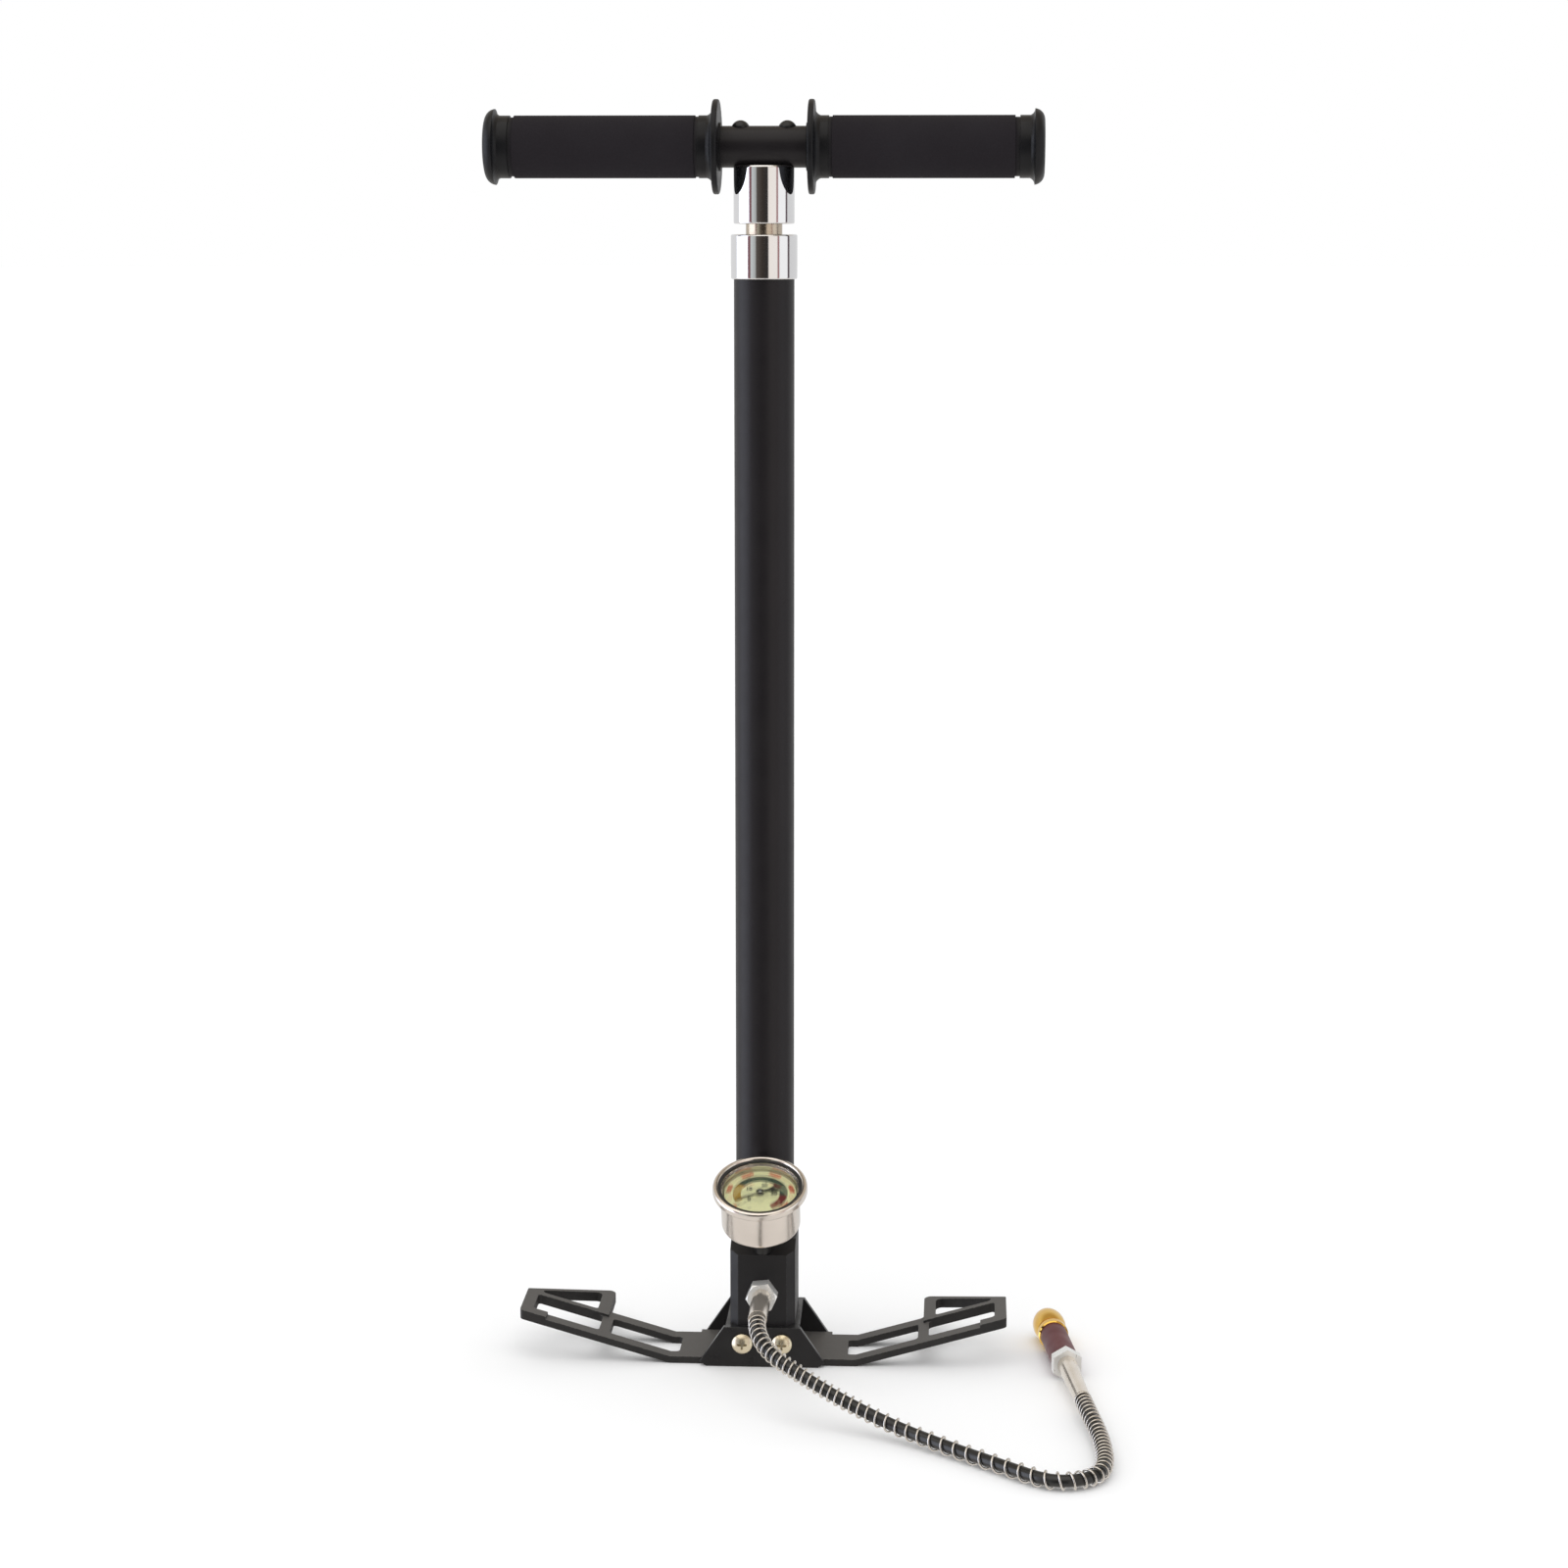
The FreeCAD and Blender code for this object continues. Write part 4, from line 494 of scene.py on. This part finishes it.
def make_guard(track):
    centres = []
    distance, angle = WIRE_RADIUS, 0.0
    while distance < track.length - WIRE_RADIUS:
        place, heading, side = track.at(distance)
        centres.append(place + Quaternion(heading, angle) @ side * COIL_RADIUS)
        angle += math.tau / COIL_STEPS
        distance += coil_pitch(distance) / COIL_STEPS
    mesh = tube_mesh("guard_coil", centres, WIRE_RADIUS, 8)
    return add_piece("guard_coil", mesh, "guard_wire", "pump", 60)


hose_tube = make_hose()
paint(hose_tube, "hose_rubber")
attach(hose_tube, "pump")
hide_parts("hose")
hose_track = Track(hose_line(hose_tube))
guard_coil = make_guard(hose_track)
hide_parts("spring_guard")

# --- dial -----------------------------------------------------------------------------

# Sizes on the dial are in mm from its centre, and angles in degrees from its right.
DIAL_TOP = 19.7
INK = 0.03
ARC_STEP = 4.0
FONT_SIZE = 1.4            # a font's size is this many times the height of its numbers
FONT_WEIGHT = 0.07         # how far the numbers' strokes are thickened, for each mm of height
DIAL_RIGHT = Vector((1, 0, 0))
DIAL_UP = GAUGE_NORMAL.cross(DIAL_RIGHT)


def dial_spot(x, y, lift):
    """A place on the dial in mm: right, up, and above its face."""
    flat = DIAL_RIGHT * x + DIAL_UP * y
    return GAUGE_FOOT + (flat + GAUGE_NORMAL * (DIAL_TOP + lift)) * MM


class Print:
    """Thin closed shapes that stand a hair above the dial's face."""

    def __init__(self):
        self.points = []
        self.faces = []

    def add_strip(self, edges, lift=0.0):
        """A strip between pairs of flat points, closed all round."""
        start = len(self.points)
        for inner, outer in edges:
            for spot in (inner, outer):
                self.points.append(dial_spot(*spot, lift))
                self.points.append(dial_spot(*spot, lift + INK))
        for number in range(len(edges) - 1):
            a = start + 4 * number
            for i, j in ((1, 3), (3, 2), (2, 0), (0, 1)):
                self.faces.append((a + i, a + j, a + 4 + j, a + 4 + i))
        last = start + 4 * (len(edges) - 1)
        self.faces.append((start, start + 2, start + 3, start + 1))
        self.faces.append((last, last + 1, last + 3, last + 2))

    def add_arc(self, inner, outer, begin, end):
        steps = max(2, int(abs(end - begin) / ARC_STEP))
        edges = []
        for step in range(steps + 1):
            angle = math.radians(begin + (end - begin) * step / steps)
            ray = Vector((math.cos(angle), math.sin(angle)))
            edges.append((tuple(ray * inner), tuple(ray * outer)))
        self.add_strip(edges)

    def add_tick(self, inner, outer, angle, width):
        ray = Vector((math.cos(math.radians(angle)), math.sin(math.radians(angle))))
        side = Vector((-ray.y, ray.x)) * width / 2
        edges = [(tuple(ray * reach - side), tuple(ray * reach + side))
                 for reach in (inner, outer)]
        self.add_strip(edges, 2 * INK)

    def add_text(self, text, radius, angle, height, upright=False):
        """A number at a radius; it turns with the scale unless it is kept upright."""
        data = bpy.data.curves.new("number", "FONT")
        data.body = text
        data.size = height * FONT_SIZE
        data.align_x = "CENTER"
        data.align_y = "CENTER"
        data.extrude = INK / 2
        data.offset = height * FONT_WEIGHT
        data.resolution_u = 3
        item = bpy.data.objects.new("number", data)
        mesh = bpy.data.meshes.new_from_object(item)
        spin = 0.0 if upright else math.radians(angle - 90)
        turn = Matrix.Rotation(spin, 3, "Z")
        ray = Vector((math.cos(math.radians(angle)), math.sin(math.radians(angle)), 0))
        start = len(self.points)
        for vertex in mesh.vertices:
            spot = turn @ vertex.co + ray * radius
            self.points.append(dial_spot(spot.x, spot.y, spot.z + INK * 2.5))
        for face in mesh.polygons:
            self.faces.append(tuple(start + index for index in face.vertices))
        bpy.data.objects.remove(item)
        bpy.data.curves.remove(data)
        bpy.data.meshes.remove(mesh)

    def finish(self, name, slot):
        mesh = bpy.data.meshes.new(name)
        mesh.from_pydata(self.points, [], self.faces)
        return add_piece(name, mesh, slot, "pump")


BAND_INNER, BAND_OUTER = 9.9, 13.9
BANDS = {"yellow": (209, 146), "green": (146, -5), "red": (-5, -60)}
# The black ring just inside the dial's rim is painted shade, standing in for the dark gap between the dial and the
# case wall.
EDGE_SHADE_RING = (18.3, 18.9)
PSI_START, PSI_STEP, PSI_NUMBERS, PSI_PARTS = 220.0, 51.4, 6, 5
PSI_RADIUS, PSI_HEIGHT = 16.0, 2.4
BAR_START, BAR_STEP, BAR_NUMBERS = 220.0, 72.5, 4
BAR_RADIUS, BAR_HEIGHT = 7.0, 2.3


def make_bands():
    for colour, (begin, end) in BANDS.items():
        band = Print()
        band.add_arc(BAND_INNER, BAND_OUTER, begin, end)
        band.finish("band_" + colour, "print_" + colour)


def make_scales():
    """Two scales with their numbers, and a black ring at the dial's edge that is painted shade of the gap round
    the dial.
    """
    outer = Print()
    lines = Print()
    for step in range(PSI_NUMBERS):
        angle = PSI_START - PSI_STEP * step
        outer.add_text(str(1000 * step), PSI_RADIUS, angle, PSI_HEIGHT)
        lines.add_tick(13.0, 14.5, angle, 0.35)
        if step < PSI_NUMBERS - 1:
            for part in range(1, PSI_PARTS):
                lines.add_tick(13.3, BAND_OUTER, angle - PSI_STEP * part / PSI_PARTS, 0.18)
    for step in range(BAR_NUMBERS):
        angle = BAR_START - BAR_STEP * step
        lines.add_text(str(10 * step), BAR_RADIUS, angle, BAR_HEIGHT, upright=True)
        lines.add_tick(8.9, BAND_INNER, angle, 0.3)
    # painted shade of the gap round the dial, drawn in black ink
    lines.add_arc(*EDGE_SHADE_RING, 0, 360)
    outer.finish("scale_outer", "print_orange")
    lines.finish("scale_lines", "print_black")


make_bands()
make_scales()

# --- bleed knob -----------------------------------------------------------------------

KNOB_RIDGES = 36
KNOB_DEPTH = 0.35
KNOB_WAVE = (0.0, 0.5, 1.0, 0.5)
# radius and height in mm, and whether the ring is ridged: collar, coned shoulder,
# straight knurl and a dished end
KNOB_PROFILE = [
    (2.02, 1.2, False), (4.6, 1.2, False), (4.6, 2.4, False), (6.2, 2.5, False),
    (6.95, 3.2, True), (6.95, 3.25, True), (6.95, 10.0, True), (6.95, 10.05, True),
    (6.2, 10.8, False), (5.6, 11.0, False), (5.0, 11.0, False), (4.4, 10.55, False),
    (0.9, 10.4, False)]


def knob_ring(reach, height, ridged):
    """One ring of points round the bleed screw's axis, with ridges where it is knurled."""
    centre = joint("bleed_turn")["pos_m"]
    count = KNOB_RIDGES * len(KNOB_WAVE)
    ring = []
    for number in range(count):
        wave = KNOB_WAVE[number % len(KNOB_WAVE)] if ridged else 0.0
        radius = (reach - KNOB_DEPTH * wave) * MM
        angle = math.tau * number / count
        ring.append(Vector((
            centre[0] + radius * math.cos(angle), centre[1] + height * MM,
            centre[2] + radius * math.sin(angle))))
    return ring


def make_knob():
    rings = [knob_ring(*row) for row in KNOB_PROFILE]
    count = len(rings[0])
    points = [point for ring in rings for point in ring]
    faces = []
    for level in range(len(rings) - 1):
        for number in range(count):
            first = level * count + number
            second = level * count + (number + 1) % count
            faces.append((first, first + count, second + count, second))
    faces.append(tuple(range(count)))
    faces.append(tuple(reversed(range(len(points) - count, len(points)))))
    mesh = bpy.data.meshes.new("bleed_knob")
    mesh.from_pydata(points, [], faces)
    knob = add_piece("bleed_knob", mesh, "stem_brass", "bleed_screw", 35)
    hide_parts("bleed_screw")


make_knob()
paint_cad_nodes()

# --- floor, light and world -----------------------------------------------------------

FLOOR_RADIUS = 30.0
FLOOR_CORNERS = 64


def make_floor():
    angles = [math.tau * number / FLOOR_CORNERS for number in range(FLOOR_CORNERS)]
    points = [(FLOOR_RADIUS * math.cos(angle), FLOOR_RADIUS * math.sin(angle), 0.0)
              for angle in angles]
    mesh = bpy.data.meshes.new("floor")
    mesh.from_pydata(points, [], [tuple(range(FLOOR_CORNERS))])
    floor = bpy.data.objects.new("floor", mesh)
    bpy.context.scene.collection.objects.link(floor)
    surface = Surface("floor", Specular_IOR_Level=0.0)
    surface.set("Base Color", surface.mix(surface.noise(0.8), tone(0.93), tone(0.95)))
    surface.set("Roughness", surface.spread(surface.noise(3.0), 0.9, 1.0))
    mesh.materials.append(surface.material)
    floor.visible_glossy = False


def make_sun():
    data = bpy.data.lights.new("overhead", "SUN")
    data.energy = 0.9
    data.angle = math.radians(70)
    sun = bpy.data.objects.new("overhead", data)
    sun.rotation_euler = (math.radians(18), math.radians(-10), 0.0)
    bpy.context.scene.collection.objects.link(sun)


# What polished parts reflect, by the angle round from the camera's side, left negative.
STUDIO = [
    (-180, 0.76, 0.76, 0.76), (-106, 0.78, 0.78, 0.78), (-104, 2.1, 2.2, 2.5),
    (-57, 2.1, 2.2, 2.5), (-55, 0.22, 0.10, 0.11), (-46, 0.22, 0.11, 0.12),
    (-43.5, 0.62, 0.66, 0.66), (-27, 0.42, 0.43, 0.42), (-24, 0.10, 0.085, 0.075),
    (-3, 0.045, 0.036, 0.030), (17, 0.030, 0.028, 0.028), (20, 0.95, 0.88, 0.82),
    (50, 0.95, 0.90, 0.85), (52, 0.35, 0.18, 0.18), (57, 0.35, 0.18, 0.18),
    (59, 1.0, 1.0, 1.0), (92, 1.0, 1.0, 1.0), (94, 0.12, 0.09, 0.10),
    (101, 0.12, 0.09, 0.10), (103, 0.72, 0.72, 0.72), (180, 0.76, 0.76, 0.76),
]
CEILING = tone(0.50, 0.43, 0.34)
GROUND = tone(0.82, 0.78, 0.74)


class World(Surface):
    """The studio round the pump, with the same node helpers as a surface."""

    def __init__(self):
        self.material = bpy.data.worlds.new("studio")
        self.material.use_nodes = True
        self.nodes = self.material.node_tree.nodes
        self.nodes.clear()
        bpy.context.scene.world = self.material

    def ramp(self, value, stops):
        made = self.node("ValToRGB", {0: value})
        elements = made.color_ramp.elements
        for number, (angle, *colour) in enumerate(stops):
            spot = (angle + 180) / 360
            stop = elements[number] if number < 2 else elements.new(spot)
            stop.position = spot
            stop.color = (*colour, 1.0)
        return made.outputs[0]


def make_world():
    world = World()
    way = world.node("SeparateXYZ", {0: world.node("TexCoord").outputs["Generated"]})
    back = world.calc("MULTIPLY", way.outputs["Y"], -1.0)
    round_angle = world.calc("ARCTAN2", way.outputs["X"], back)
    share = world.spread(round_angle, 0.0, 1.0, -math.pi, math.pi)
    walls = world.ramp(share, STUDIO)
    high = world.spread(way.outputs["Z"], 0.0, 1.0, 0.35, 0.62)
    low = world.spread(way.outputs["Z"], 1.0, 0.0, -0.55, -0.30)
    studio = world.mix(high, walls, CEILING)
    studio = world.mix(low, studio, GROUND)
    rays = world.node("LightPath")
    glossy = rays.outputs["Is Glossy Ray"]
    seen = world.mix(glossy, tone(1.0), studio)
    strength = world.node("Mix", {0: rays.outputs["Is Diffuse Ray"], 2: 1.0, 3: 0.85})
    shine = world.node("Background", {"Color": seen, "Strength": strength.outputs[0]})
    end = world.node("OutputWorld")
    world.feed(end.inputs["Surface"], shine.outputs[0])


make_floor()
make_sun()
make_world()
bpy.context.scene.view_settings.view_transform = "Standard"
